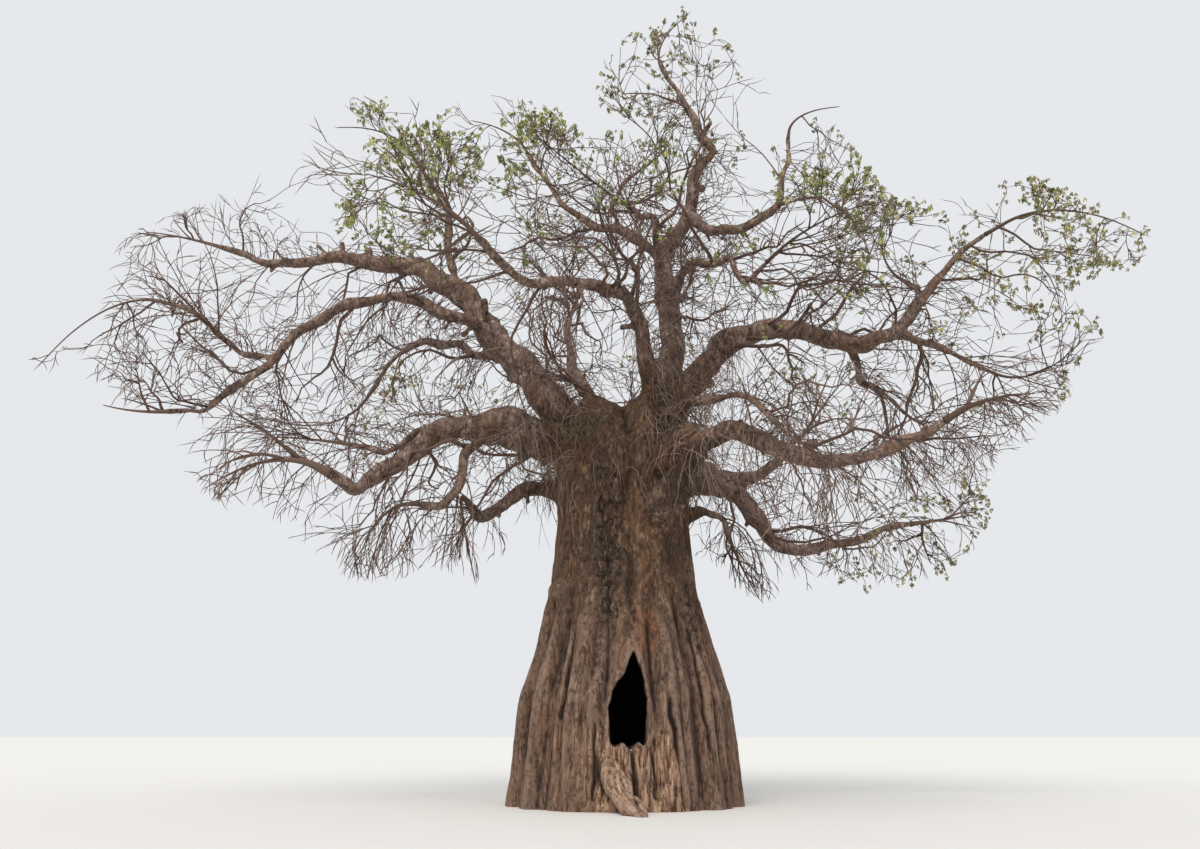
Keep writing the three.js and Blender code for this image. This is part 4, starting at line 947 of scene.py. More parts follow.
def torn_mask(points):
    """Where the bark has come off round the doorway's sill and down to the ground"""
    x, y, z = points.T
    rag = lumps_of("torn_edge", points) + lumps_of("torn_fray", points)
    top = np.interp(x, TORN["across"], TORN["up"])
    right = TORN["right"] - TORN_LEAN * z
    inside = np.minimum(np.minimum(x - TORN["left"], right - x), top - z) + rag
    strength = mix(TORN["faint"], 1.0, smooth_step(*MARKED["faint"], x))
    return smooth_step(*MARKED["torn"], inside) * strength * (y < TORN_FRONT)


def bark_marks(points, away_from_trunk):
    """The named marks on the bark, each from 0 to 1 at every point"""
    x, y, z = points.T
    from_fork = smooth_step(*FORK_TONE, np.linalg.norm(points - FORK, axis=1))
    marks = {
        "bough": smooth_step(*MARKED["bough"], away_from_trunk) * mix(BOUGH_AT_FORK, 1, from_fork),
        "torn": torn_mask(points),
        "spur": (1 - smooth_step(*MARKED["spur"], y)) * (z < SPUR_BELOW),
        "inside": smooth_step(*MARKED["inside"], -away_from_trunk) * (z < INSIDE_BELOW),
    }
    for name, centre, size, seed, ragged, strength in PATCHES:
        marks[name] = marks.get(name, 0) + strength * patch(points, centre, size, seed, ragged)
    return {name: np.clip(values, 0, 1) for name, values in marks.items()}


def bark_relief(points, marks):
    """How far the bark stands out or in at each point"""
    bough, torn, dark, inside = (marks[name] for name in ("bough", "torn", "dark", "inside"))
    foot = 1 - smooth_step(*FOOT_BELOW, points[:, 2])
    upper, low, limb = RELIEF["lumps"]
    relief = mix(mix(upper, low, foot), limb, bough) * layered_noise(points, *LAYERS["lumps"])
    upper, low, limb = RELIEF["rough"]
    rough = mix(mix(upper + DARK_ROUGH * dark, low, foot), limb, bough)
    relief += rough * layered_noise(points, *LAYERS["rough"])
    upper, low, limb = RELIEF["fibres"]
    fibres = layered_noise(points, *LAYERS["fibres"])
    relief += mix(upper, low, foot) * fibres * (1 - limb * bough)
    pits = 1 - np.abs(lumps_of("pits", points))
    relief += dark * (lumps_of("dark_lumps", points) - PIT_DEPTH * pits**4)
    torn_fibres = layered_noise(points, *LAYERS["torn"]) + lumps_of("torn_splinters", points)
    torn_relief = TORN_RELIEF["fibres"] * torn_fibres - TORN_RELIEF["sunk"]
    spur_relief = TORN_RELIEF["spur"] * layered_noise(points @ spur_axes(), *LAYERS["spur"])
    relief += torn * (1 - inside) * mix(torn_relief, spur_relief, marks["spur"])
    for centre, size in BURLS:
        relief += BURL_RELIEF * patch(points, centre, (size, 2 * size, size), *BURL_EDGE)
    return relief * (1 - INSIDE_RELIEF * inside)


def crack(points, ends, width, depth):
    """A narrow crack down the front of the foot, between two places across and up"""
    (x0, z0), (x1, z1) = ends
    part = np.clip((points[:, 2] - z0) / (z1 - z0), 0, 1)
    middle = mix(x0, x1, part) + lumps_of("crack", points)
    near = np.exp(-(((points[:, 0] - middle) / width) ** 2))
    top = smooth_step(z0 + CRACK_END, z0 - CRACK_FADE, points[:, 2])
    foot = smooth_step(z1 - CRACK_END, z1 + CRACK_END, points[:, 2])
    return -depth * near * (top * foot) * (points[:, 1] < CRACK_FRONT)


def spur_strands():
    """The root spur as several strands side by side"""
    line = curve_through(SPUR, LINE_STEP)
    along = np.linspace(0, 1, len(line))
    wide, thick = (np.interp(along, np.linspace(0, 1, len(SPUR)), row) for row in (SPUR_WIDE, SPUR_THICK))
    strands = []
    for number in range(SPUR_STRANDS):
        far, per_metre, seed = STRAND_WANDER
        aside = (number - (SPUR_STRANDS - 1) / 2) * wide + far * noise(line, per_metre, seed + number)
        moved = line + np.column_stack([aside, STRANDS_BACK * aside, 0 * aside])
        far, per_metre, seed = STRAND_KNOBS
        strand = thick * (1 + far * noise(moved, per_metre, seed + number))
        strands.append(closed_tube(moved, strand, LIMB_SIDES))
    return strands


def bark_surface(limbs, limb_balls):
    """The trunk and limbs as one surface: points, quads, normals, marks and each point's owner"""
    parts = [hollow_trunk()]
    for limb in limbs.values():
        parts.append(closed_tube(limb["line"], knobbly(limb), LIMB_SIDES))
        if limb["on"] == "trunk":
            parts.append(buttress(limb))
        if limb["name"] not in SMOOTH_LIMBS:
            parts += stubs_on(limb)
    for first, last, thick, thin in WEBS:
        line = mix(np.array(first), np.array(last), np.linspace(0, 1, WEB_POINTS)[:, None])
        parts.append(closed_tube(line, np.linspace(thick, thin, WEB_POINTS), LIMB_SIDES))
    parts += spur_strands()
    points, quads = remeshed(parts)
    around = Neighbours(quads, len(points))
    mask = fork_mask(points, limbs)[:, None]
    for _ in range(FORK_STEPS):
        points += FORK_SMOOTHING * mask * (around.mean(points) - points)
    points += SMOOTHING * (around.mean(points) - points)
    normals = point_normals(points, quads)
    limb_gap, ball = limb_balls.nearest(points)
    gap = trunk_gap(points)
    on_trunk = gap < limb_gap
    trunk_owner = np.where(points[:, 2] < TRUNK_SPLIT, FOOT_OWNER, TOP_OWNER)
    owner = np.where(on_trunk, trunk_owner, limb_balls.owner[ball])
    thick = np.where(on_trunk, 1, np.clip(limb_balls.radius[ball] / FULL_RELIEF, LEAST_RELIEF, 1))
    marks = bark_marks(points, gap)
    relief = bark_relief(points, marks) * thick
    for ends, width, depth in CRACKS:
        relief += crack(points, ends, width, depth)
    points = points + normals * relief[:, None]
    smoothed = points
    # How sunk or raised each point is after the relief: the bark's colour darkens sunk points with painted
    # shade and lightens raised ones with a painted highlight
    for _ in range(CAVITY_STEPS):
        smoothed = smoothed + CAVITY_SMOOTHING * (around.mean(smoothed) - smoothed)
    cavity = ((smoothed - points) * point_normals(smoothed, quads)).sum(axis=1) / CAVITY_DEPTH
    marks["cavity"] = np.clip(0.5 + 0.5 * cavity, 0, 1)
    return points, quads, point_normals(points, quads), marks, owner


def cut_at_ground(mesh):
    """Takes off what lies under the ground and closes the cut"""
    work = bmesh.new()
    work.from_mesh(mesh)
    geometry = work.verts[:] + work.edges[:] + work.faces[:]
    cut = bmesh.ops.bisect_plane(
        work, geom=geometry, plane_co=(0, 0, 0), plane_no=(0, 0, 1), clear_inner=True)
    edges = [item for item in cut["geom_cut"] if isinstance(item, bmesh.types.BMEdge)]
    bmesh.ops.holes_fill(work, edges=edges, sides=0)
    work.to_mesh(mesh)
    work.free()


def add_piece(name, mesh, materials, nodes):
    """Puts a mesh in the scene as a piece that takes the place of the CAD nodes"""
    for material in materials:
        mesh.materials.append(material)
    piece = new_object(name, mesh)
    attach(piece, "root")
    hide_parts(*nodes)


def bark_piece(name, surface, owners, material, nodes):
    """One piece of the bark, made of the faces that belong to the owners given"""
    points, quads, normals, marks, owner = surface
    kept = quads[np.isin(owner[quads[:, 0]], owners)]
    used, corners = np.unique(kept, return_inverse=True)
    mesh = new_mesh(name, points[used], corners.reshape(-1, 4))
    for mark, values in marks.items():
        attribute = mesh.attributes.new(mark, "FLOAT", "POINT")
        attribute.data.foreach_set("value", values[used].astype(np.float32))
    outward = mesh.attributes.new("outward", "FLOAT_VECTOR", "POINT")
    outward.data.foreach_set("vector", normals[used].astype(np.float32).ravel())
    if FOOT_OWNER in owners:
        cut_at_ground(mesh)
        mesh.shade_smooth()
    outward = np.empty(len(mesh.vertices) * 3, np.float32)
    mesh.attributes["outward"].data.foreach_get("vector", outward)
    mesh.normals_split_custom_set_from_vertices(outward.reshape(-1, 3))
    mesh.attributes.remove(mesh.attributes["outward"])
    add_piece(name, mesh, [material], nodes)


# Twigs

BRANCH_ROOT = (0.03, 0.075)
BURIED = 0.85
KINKS = {"wide": 0.16, "per_metre": 1.3, "from": 0.25}
TRUNK_FRONT = {"right": 2.5, "left": -2.2, "back": 0.6, "top": 8.4}
BRANCH_LIFT = -0.06
TOUCHING = 0.01
HAIRS = {
    "count": 2100, "long": (0.25, 1.7), "root": 0.0075, "steps": 7, "lift": -0.45, "curl": 0.3, "crook": 0.8,
    "sunk": 0.03, "clear": 0.02, "facing": 0.3, "low": (-2.6, -3.6, 7.5), "high": (3.4, 0.6, 11.6),
}
HAIR_TIP = 0.6
HAIR_WAY = {"out": 0.6, "scatter": 1.2, "down": 0.4}
# How many twiglets each twig of a level bears, and the levels whose twiglets keep near their mass's space
TWIGLETS_EACH = {
    "limblets": 2, "twigs": 3, "branches": 2, "branch_twigs": 2, "tufts": 1, "sweep_twigs": 1}
SPACED_LEVELS = ("limblets", "twigs")
# How many parts each stretch of a level's twigs is cut into, how far they bow, and how kinked they are;
# the second bow, a third as long, is a part of the first
FINER = {
    "stems": (5, 0.0, 0), "limblets": (5, 0.05, 1.0), "twigs": (5, 0.14, 0.6), "branches": (2, 0.0, 1.7),
    "branch_twigs": (2, 0.06, 0), "sweep_twigs": (2, 0.03, 0), "twiglets": (2, 0.05, 0),
}
SECOND_BOW = 0.35
FINE_SKIN = 1.12
LOWEST_TWIG = 3.6
PARENT_POINTS = 24


def depth_in(points, mass):
    """How deep each place lies in its mass's space: 0 in the middle, and 1 on the skin"""
    return (((points - MIDDLES[mass]) / HALVES[mass]) ** 2).sum(axis=1)


def in_own_space(points, mass, skin, alone):
    """Which places lie in their mass's space, and with `alone` deeper in it than in any other"""
    own = depth_in(points, mass)
    inside = own < skin
    if alone:
        for other in range(len(MASSES)):
            inside &= (mass == other) | (depth_in(points, other) > own + SPACE_MARGIN)
    return inside


def within_edge(points):
    """Which places lie within the crown's edge, seen from where the photo was taken"""
    seen = EYE + (points - EYE) * (EYE[1] / (EYE[1] - points[:, 1]))[:, None]
    seen[:, 0] += lumps_of("crown_across", points)
    seen[:, 2] += lumps_of("crown_up", points)
    inside = np.zeros(len(points), bool)
    for (x0, z0), (x1, z1) in zip(CROWN_EDGE, np.roll(CROWN_EDGE, -1, axis=0)):
        crossed = (z0 > seen[:, 2]) != (z1 > seen[:, 2])
        at = x0 + (x1 - x0) * (seen[:, 2] - z0) / (z1 - z0 if z1 != z0 else 1)
        inside ^= crossed & (seen[:, 0] < at)
    return inside


def in_the_box(points):
    """Which places lie in the CAD box, above the lowest twigs and not before the trunk"""
    low, high = (np.array(corner) for corner in cad_box)
    x, y, z = points.T
    before_trunk = (x > TRUNK_FRONT["left"]) & (x < TRUNK_FRONT["right"])
    before_trunk &= (y < TRUNK_FRONT["back"]) & (z < TRUNK_FRONT["top"])
    return ((points > low) & (points < high)).all(axis=1) & (z > LOWEST_TWIG) & ~before_trunk


def room_ahead(points, ways, mass):
    """How far it is from each place to the skin of its mass's space"""
    at = (points - MIDDLES[mass]) / HALVES[mass]
    way = ways / HALVES[mass]
    a = (way * way).sum(axis=1)
    b = (at * way).sum(axis=1)
    rest = b * b - a * ((at * at).sum(axis=1) - 1)
    return np.where(rest > 0, np.maximum(0, (np.sqrt(np.maximum(rest, 0)) - b) / a), 0)


class Twigs:
    """Many twigs with the same number of points each"""

    def __init__(self, points, root, tip, seed, mass):
        self.points = np.asarray(points, float)
        self.root = np.asarray(root, float)
        self.tip = np.asarray(tip, float)
        self.seed = np.asarray(seed, np.uint64)
        self.mass = np.asarray(mass, int)

    def __len__(self):
        return len(self.points)

    def fields(self):
        return self.points, self.root, self.tip, self.seed, self.mass

    def some(self, chosen):
        return Twigs(*(field[chosen] for field in self.fields()))

    def with_points(self, points):
        return Twigs(points, *self.fields()[1:])


def joined_twigs(*several):
    return Twigs(*(np.concatenate(fields) for fields in zip(*(twigs.fields() for twigs in several))))


def branch_points(start, way, long, lift, steps, seed, curl, crook):
    """Points of each branch, which runs out from a place on its parent and bends as it goes"""
    points = [start]
    bend = scattered(seed, DRAWS["curl"], step=100) * curl
    for step in range(steps):
        if step > 0:
            sway = scattered(seed, DRAWS["sway"] + 3 * step)
            way = unit(way + sway * crook + UP * lift[:, None] + bend)
        points.append(points[-1] + way * (long / steps)[:, None])
    return np.stack(points, axis=1)


def gap_to_bark(points, limb_balls):
    return np.minimum(limb_balls.nearest(points)[0], trunk_gap(points))


def branches_from(parents, counts, rule, limb_balls, spaced=True, skin=1.0, alone=True, buried=None):
    """The branches that each parent bears. One that doesn't fit is tried shorter, then left out."""
    counts = np.broadcast_to(counts, len(parents))
    parent = np.repeat(np.arange(len(parents)), counts)
    index = np.concatenate([np.arange(count) for count in counts])
    seed = mixed_seed(parents.seed[parent], index)
    mass = parents.mass[parent]
    last = parents.points.shape[1] - 1
    spread = (chance(parents.seed[parent], DRAWS["place"]) + index * GOLDEN_PART) % 1
    along = mix(rule["start"], rule["end"], spread)
    place = along * last
    step = np.minimum(last - 1, np.floor(place)).astype(int)
    here = parents.points[parent, step]
    there = parents.points[parent, step + 1]
    start = here + (there - here) * (place - step)[:, None]
    forward = unit(there - here)
    aside = square_to(forward)
    across = np.cross(forward, aside)
    turn = (index * GOLDEN_ANGLE + 2 * math.pi * chance(parents.seed[parent], DRAWS["turn"]))[:, None]
    angle = (rule["angle"] * mix(*ANGLE_SPREAD, chance(seed, DRAWS["angle"])))[:, None]
    way = forward * np.cos(angle) + (aside * np.cos(turn) + across * np.sin(turn)) * np.sin(angle)
    most = rule["most"] * mix(*LENGTH_SPREAD, chance(seed, DRAWS["length"]))
    if buried is not None:
        start = start + way * buried[parent, step][:, None]
    room = room_ahead(start, way, mass) if spaced else np.full(len(start), np.inf)
    root = np.maximum(mix(parents.root[parent], parents.tip[parent], along) * rule["thin"], THINNEST)
    lift = LIFTS[mass] + rule["lift"]
    if not spaced:
        lift = lift + BRANCH_LIFT + rule["spread"] * (chance(seed, DRAWS["lift"]) - 0.5)
    made = np.zeros((len(start), rule["steps"] + 1, 3))
    waiting = np.ones(len(start), bool)
    for part in SHORTER:
        long = np.minimum(most, rule["reach"] * room) * part
        trial = np.flatnonzero(waiting & (long >= LEAST_TWIG * min(1, rule["most"])))
        if len(trial) == 0:
            break
        points = branch_points(
            start[trial], way[trial], long[trial], lift[trial], rule["steps"], seed[trial],
            rule["curl"], rule["crook"])
        later = np.concatenate([points[:, 1:], (points[:, 1:] + points[:, :-1]) / 2], axis=1)
        tested = later.reshape(-1, 3)
        of_mass = np.repeat(mass[trial], later.shape[1])
        clear = CLEARANCE + np.repeat(root[trial], later.shape[1]) if alone else TOUCHING
        free = in_own_space(tested, of_mass, skin, alone) if spaced else in_the_box(tested)
        free &= within_edge(tested) & (gap_to_bark(tested, limb_balls) > clear)
        fits = free.reshape(len(trial), -1).all(axis=1)
        made[trial[fits]] = points[fits]
        waiting[trial[fits]] = False
    tip = np.maximum(root * TWIG_TIP, THINNEST_TIP)
    return Twigs(made, root, tip, seed, mass).some(~waiting)


def finer(level, twigs):
    """The same twigs with more points, bowed a little to one side, and with kinks if they are to have any"""
    parts, bow, kinks = FINER[level]
    points = twigs.points
    before, here, there, after = stretches_of(points)
    dense = cubics(here, there, (there - before) / 2, (after - here) / 2, np.arange(parts) / parts)
    dense = np.concatenate([dense.reshape(len(points), -1, 3), points[:, -1:]], axis=1)
    run = np.linspace(0, 1, dense.shape[1])
    long = np.linalg.norm(points[:, -1] - points[:, 0], axis=1)
    side = scattered(twigs.seed, DRAWS["bow"], 6)
    first = side[:, None, :3] * np.sin(math.pi * run)[None, :, None]
    second = side[:, None, 3:] * np.sin(3 * math.pi * run)[None, :, None] * SECOND_BOW
    dense += (first + second) * (bow * long)[:, None, None]
    if kinks:
        flat = dense.reshape(-1, 3)
        sway = np.column_stack([layered_noise(flat, KINKS["per_metre"], 91 + 2 * k, 2) for k in range(3)])
        rising = smooth_step(0, KINKS["from"], run)[None, :, None]
        dense = dense + sway.reshape(dense.shape) * rising * kinks * KINKS["wide"]
    return twigs.with_points(dense)


def stems_of(limbs):
    """One stem for each mass, which runs on from its limb's tip"""
    points = []
    roots = []
    for _, limb_name, _, _, end, *_ in MASSES:
        line = limbs[limb_name]["line"]
        forward = unit(line[-1] - line[-2])
        end = np.array(end, float)
        bow = line[-1] + forward * STEM["bow"] * np.linalg.norm(end - line[-1])
        t = np.linspace(0, 1, STEM["steps"] + 1)[:, None]
        points.append((1 - t) ** 2 * line[-1] + 2 * t * (1 - t) * bow + t**2 * end)
        roots.append(limbs[limb_name]["radius"][-1])
    number = np.arange(len(MASSES))
    return Twigs(points, roots, np.full(len(MASSES), STEM["tip"]), mixed_seed(number, DRAWS["stem"]), number)


def limbs_as_parents(limbs):
    """The limbs as parents for the branches that grow on them all along, and how deep those start in them"""
    points = []
    radius = []
    parts = np.linspace(0, 1, PARENT_POINTS)
    for _, limb_name, *_ in MASSES:
        limb = limbs[limb_name]
        points.append([along_line(limb["line"], part) for part in parts])
        radius.append(np.interp(parts, np.linspace(0, 1, len(limb["radius"])), limb["radius"]))
    number = np.arange(len(MASSES))
    tip, root = (np.full(len(number), thick) for thick in BRANCH_ROOT)
    return Twigs(points, root, tip, mixed_seed(71, number), number), np.array(radius) * BURIED


def hairs_of(surface, limb_balls):
    """Thin twigs that stand out of the bark round the fork and hang over"""
    points, _, normals, _, _ = surface
    inside = ((points > HAIRS["low"]) & (points < HAIRS["high"])).all(axis=1)
    near = np.flatnonzero(inside & (normals[:, 1] < HAIRS["facing"]))
    number = np.arange(HAIRS["count"])
    seed = mixed_seed(72, number)
    chosen = near[(chance(seed, 0) * len(near)).astype(int)]
    way = normals[chosen] * HAIR_WAY["out"] + scattered(seed, 1) * HAIR_WAY["scatter"]
    way = unit(way - UP * HAIR_WAY["down"])
    long = mix(*HAIRS["long"], chance(seed, 4))
    start = points[chosen] - normals[chosen] * HAIRS["sunk"]
    root, lift = (np.full(len(number), HAIRS[name]) for name in ("root", "lift"))
    made = branch_points(start, way, long, lift, HAIRS["steps"], seed, HAIRS["curl"], HAIRS["crook"])
    gap = gap_to_bark(made[:, 1:].reshape(-1, 3), limb_balls).reshape(len(number), -1)
    mass = np.full(len(number), MASS_NAMES.index("front_right"))
    return Twigs(made, root, root * HAIR_TIP, seed, mass).some((gap > HAIRS["clear"]).all(axis=1))


def grow_twigs(limbs, limb_balls, surface):
    """Every twig of the crown, level by level"""
    free = dict(limb_balls=limb_balls, spaced=False, alone=False)
    near = dict(limb_balls=limb_balls, skin=FINE_SKIN, alone=False)
    along_limbs, buried = limbs_as_parents(limbs)
    lengths = np.array([limbs[row[1]]["length"] for row in MASSES])
    sweep_counts = np.where(LIFTS > RISING, SWEEPS_EACH["rising"], SWEEPS_EACH["spreading"])

    def on_limbs(counts, rule):
        return branches_from(along_limbs, np.round(counts).astype(int), rule, buried=buried, **free)

    stems = stems_of(limbs)
    counts = np.round(PER_METRE["limblets"] * HALVES.sum(axis=1) * FULL).astype(int)
    limblets = finer("limblets", branches_from(stems, counts, LIMBLETS, limb_balls))
    stems = finer("stems", stems)
    twigs = finer("twigs", branches_from(limblets, TWIGS_EACH, TWIGS, limb_balls))
    branches = finer("branches", on_limbs(PER_METRE["branches"] * lengths * FULL, BRANCHES))
    branch_twigs = finer("branch_twigs", branches_from(branches, BRANCH_TWIGS_EACH, BRANCH_TWIGS, **free))
    sweeps = joined_twigs(
        on_limbs(sweep_counts, SWEEPS),
        branches_from(stems, sweep_counts, dict(SWEEPS, start=STEM_SWEEPS_START), **near),
    )
    sweep_twigs = finer("sweep_twigs", branches_from(sweeps, SWEEP_TWIGS_EACH, SWEEP_TWIGS, **free))
    tufts = on_limbs(PER_METRE["tufts"] * lengths, TUFTS)
    levels = {
        "stems": stems, "limblets": limblets, "twigs": twigs, "branches": branches,
        "branch_twigs": branch_twigs, "sweeps": sweeps, "sweep_twigs": sweep_twigs,
        "hairs": hairs_of(surface, limb_balls), "tufts": tufts,
    }
    twiglets = joined_twigs(*(
        branches_from(levels[level], count, TWIGLETS, **(near if level in SPACED_LEVELS else free))
        for level, count in TWIGLETS_EACH.items()
    ))
    levels["twiglets"] = finer("twiglets", twiglets)
    levels["sprigs"] = branches_from(levels["twiglets"], 1, SPRIGS, **free)
    return levels


def tubes_of(twigs, sides, taper):
    """Pointed tubes with closed roots along all the twigs: points, quads, triangles, and how many of
    both each tube has"""
    points = twigs.points
    count, length = points.shape[:2]
    steps = unit(np.diff(points, axis=1))
    forward = unit(np.concatenate([steps[:, :1], steps[:, :-1] + steps[:, 1:], steps[:, -1:]], axis=1))
    first = square_to(forward[:, :1])
    aside = unit(first - forward * (first * forward).sum(axis=2, keepdims=True))
    across = np.cross(forward, aside)
    turn = np.linspace(0, 2 * math.pi, sides, endpoint=False)[None, None, :, None]
    ring = aside[:, :, None] * np.cos(turn) + across[:, :, None] * np.sin(turn)
    run = np.linspace(0, 1, length)[None, :] ** taper
    radius = mix(twigs.root[:, None], twigs.tip[:, None], run)
    rings = points[:, :, None] + ring * radius[:, :, None, None]
    whole = np.concatenate([rings[:, :-1].reshape(count, -1, 3), points[:, -1:]], axis=1)
    each = whole.shape[1]
    quads, grid, after = ring_quads(length - 1, sides)
    top = np.column_stack([grid[-1], after[-1], np.full(sides, each - 1)])
    triangles = np.vstack([top, [[0, b + 1, b] for b in range(1, sides - 1)]])
    offset = (np.arange(count) * each)[:, None, None]
    all_quads = (quads + offset).reshape(-1, 4)
    all_triangles = (triangles + offset).reshape(-1, 3)
    return whole.reshape(-1, 3), all_quads, all_triangles, len(quads), len(triangles)


# The masses of each region, whose twigs and leaves are joined
REGIONS = {
    "left_outer": ["left_tip", "left_low_tip", "left_edge", "left_low"],
    "left_inner": ["left_back", "left_hanging", "left_middle", "left_stub", "upper_left"],
    "top": ["middle", "top_left", "top_middle", "top", "top_right"],
    "front": ["front_left", "front_upper", "centre", "front_right"],
    "right": [
        "right_tip", "right_upper", "right_level", "right_back", "right_middle", "right_low", "right_stub"],
    "back": ["back_upper", "back_left", "back", "back_right"],
}
REGION_OF = np.array([[name in names for names in REGIONS.values()].index(True) for name in MASS_NAMES])
TWIG_TONES = [(0.4, 0.33, 0.3), (0.46, 0.38, 0.35), (0.34, 0.27, 0.25), (0.52, 0.44, 0.4)]
BRANCH_TONES = [(0.35, 0.28, 0.24), (0.41, 0.33, 0.29)]
HAIR_TONES = [(0.38, 0.31, 0.27), (0.48, 0.4, 0.35), (0.55, 0.47, 0.42), (0.62, 0.54, 0.49)]
ALL_TONES = TWIG_TONES + BRANCH_TONES + HAIR_TONES
# How each level's tubes are made: their sides, their tones, and how soon they get thinner
LEVELS = {
    "stems": (7, BRANCH_TONES, 0.5), "limblets": (5, BRANCH_TONES, 1), "twigs": (3, TWIG_TONES, 1),
    "branches": (5, BRANCH_TONES, 1), "branch_twigs": (3, TWIG_TONES, 1), "sweeps": (4, BRANCH_TONES, 1),
    "sweep_twigs": (3, TWIG_TONES, 1), "hairs": (3, HAIR_TONES, 1), "tufts": (3, TWIG_TONES, 1),
    "twiglets": (3, TWIG_TONES, 1), "sprigs": (3, TWIG_TONES, 1),
}


def join_tubes(levels, region):
    """All the tubes of a region's twigs, as points, quads, triangles and tones"""
    parts = []
    quad_tones = []
    triangle_tones = []
    for level, twigs in levels.items():
        some = twigs.some(REGION_OF[twigs.mass] == region)
        if len(some) == 0:
            continue
        sides, tones, taper = LEVELS[level]
        points, quads, triangles, quads_each, triangles_each = tubes_of(some, sides, taper)
        tone = ALL_TONES.index(tones[0]) + (chance(some.seed, DRAWS["tone"]) * len(tones)).astype(int)
        parts.append((points, quads, triangles))
        quad_tones.append(np.repeat(tone, quads_each))
        triangle_tones.append(np.repeat(tone, triangles_each))
    return *joined_arrays(parts), np.concatenate(quad_tones + triangle_tones)


# Leaves

LEAFLETS = 5
LEAFLET = {
    "long": (0.1, 0.17), "wide": 0.3, "widest": 0.6, "droop": 1.8, "fold": 0.1, "turned": 0.35,
    "droops": (0.5, 1.6), "sizes": (0.75, 1.1),
}
LEAF_STALK = (0.05, 0.24)
# What a leaf's direction and the way it faces are made of
LEAF_WAY = {"onward": 0.6, "scatter": 2.2, "up": 0.15}
LEAF_FACE = {"onward": 0.55, "up": 0.8, "scatter": 0.5}
# How far the tones of a spray's leaves differ, and how far back from its tip a twig may bear them
TONE_SPREAD = 0.25
LEAF_BACK = 0.5
# Between which depths of its mass's space, from the middle outward, a twig becomes leafy and stops being
# so, and between which heights over the middle it becomes leafier
LEAFY_FROM = (0.1, 0.8)
LEAFY_TO = (1.1, 2.2)
LEAFY_HEIGHTS = (-0.5, 0.6)
LEAVES_IN_SPRAY = 4
SPRAYS = 0.95
LEAFY_LEVELS = ("twigs", "branch_twigs", "sweep_twigs", "twiglets", "sprigs")
# How leafy the lower and the upper side of a mass are
LEAFY_BELOW = 0.4
LEAFY_ABOVE = 1.6
# The tones of the leaves: fresh ones in some regions, and olive ones in the others
FRESH_TONES = [
    (0.54, 0.57, 0.35), (0.65, 0.67, 0.44), (0.44, 0.47, 0.28),
    (0.73, 0.73, 0.51), (0.5, 0.52, 0.33), (0.61, 0.58, 0.4),
]
OLIVE_TONES = [
    (0.53, 0.53, 0.34), (0.63, 0.62, 0.42), (0.43, 0.43, 0.27),
    (0.71, 0.69, 0.49), (0.5, 0.47, 0.32), (0.58, 0.52, 0.37),
]
FRESH_REGIONS = ("front", "left_inner")


def leaflet_shape():
    """One leaflet, widest past its middle, along +X and 1 long: its points and faces"""
    half = LEAFLET["wide"] / 2
    at = LEAFLET["widest"]
    points = np.array([(0, 0, 0), (at, half, 0), (1, 0, 0), (at, -half, 0), (at, 0, -LEAFLET["fold"])])
    return points, np.array([(0, 4, 1), (0, 3, 4), (1, 4, 2), (4, 3, 2)])


def make_leaves(twigs):
    """A hand of leaflets on each of several stalks at the twigs' tips, as points, triangles and tones"""
    count = len(twigs) * LEAVES_IN_SPRAY
    number = np.tile(np.arange(LEAVES_IN_SPRAY), len(twigs))
    seed = mixed_seed(np.repeat(twigs.seed, LEAVES_IN_SPRAY), DRAWS["leaf"] + number)
    tip = np.repeat(twigs.points[:, -1], LEAVES_IN_SPRAY, axis=0)
    base = np.repeat(twigs.points[:, -2], LEAVES_IN_SPRAY, axis=0)
    back = mix(0.0, LEAF_BACK, chance(seed, 1))[:, None]
    scatter = scattered(seed, 2)
    way = unit(tip - base) * LEAF_WAY["onward"] + scatter * LEAF_WAY["scatter"]
    way = unit(way + UP * LEAF_WAY["up"])
    centre = tip + (base - tip) * back + way * mix(*LEAF_STALK, chance(seed, 5))[:, None]
    normal = way * LEAF_FACE["onward"] + UP * LEAF_FACE["up"]
    normal = unit(normal + scatter * LEAF_FACE["scatter"])
    first = square_to(normal)
    second = np.cross(normal, first)
    long = mix(*LEAFLET["long"], chance(seed, 6))
    shape, faces = leaflet_shape()
    points = np.zeros((count, LEAFLETS, len(shape), 3))
    for leaflet in range(LEAFLETS):
        place = leaflet + LEAFLET["turned"] * chance(seed, 10 + leaflet)
        turn = 2 * math.pi * place / LEAFLETS + chance(seed, 7) * 6
        out = first * np.cos(turn)[:, None] + second * np.sin(turn)[:, None]
        droop = LEAFLET["droop"] * mix(*LEAFLET["droops"], chance(seed, 20 + leaflet))
        along = unit(out - normal * droop[:, None])
        side = np.cross(normal, out)
        face = np.cross(along, side)
        size = (long * mix(*LEAFLET["sizes"], chance(seed, 30 + leaflet)))[:, None]
        for corner, (x, y, z) in enumerate(shape):
            points[:, leaflet, corner] = centre + size * (along * x + side * y + face * z)
    triangles = (faces + (np.arange(count * LEAFLETS) * len(shape))[:, None, None]).reshape(-1, 3)
    spray_tone = chance(np.repeat(twigs.seed, LEAVES_IN_SPRAY), DRAWS["tone"])
    tone = ((spray_tone + TONE_SPREAD * chance(seed, 8)) % 1 * len(FRESH_TONES)).astype(int)
    return points.reshape(-1, 3), triangles, np.repeat(tone, LEAFLETS * len(faces))


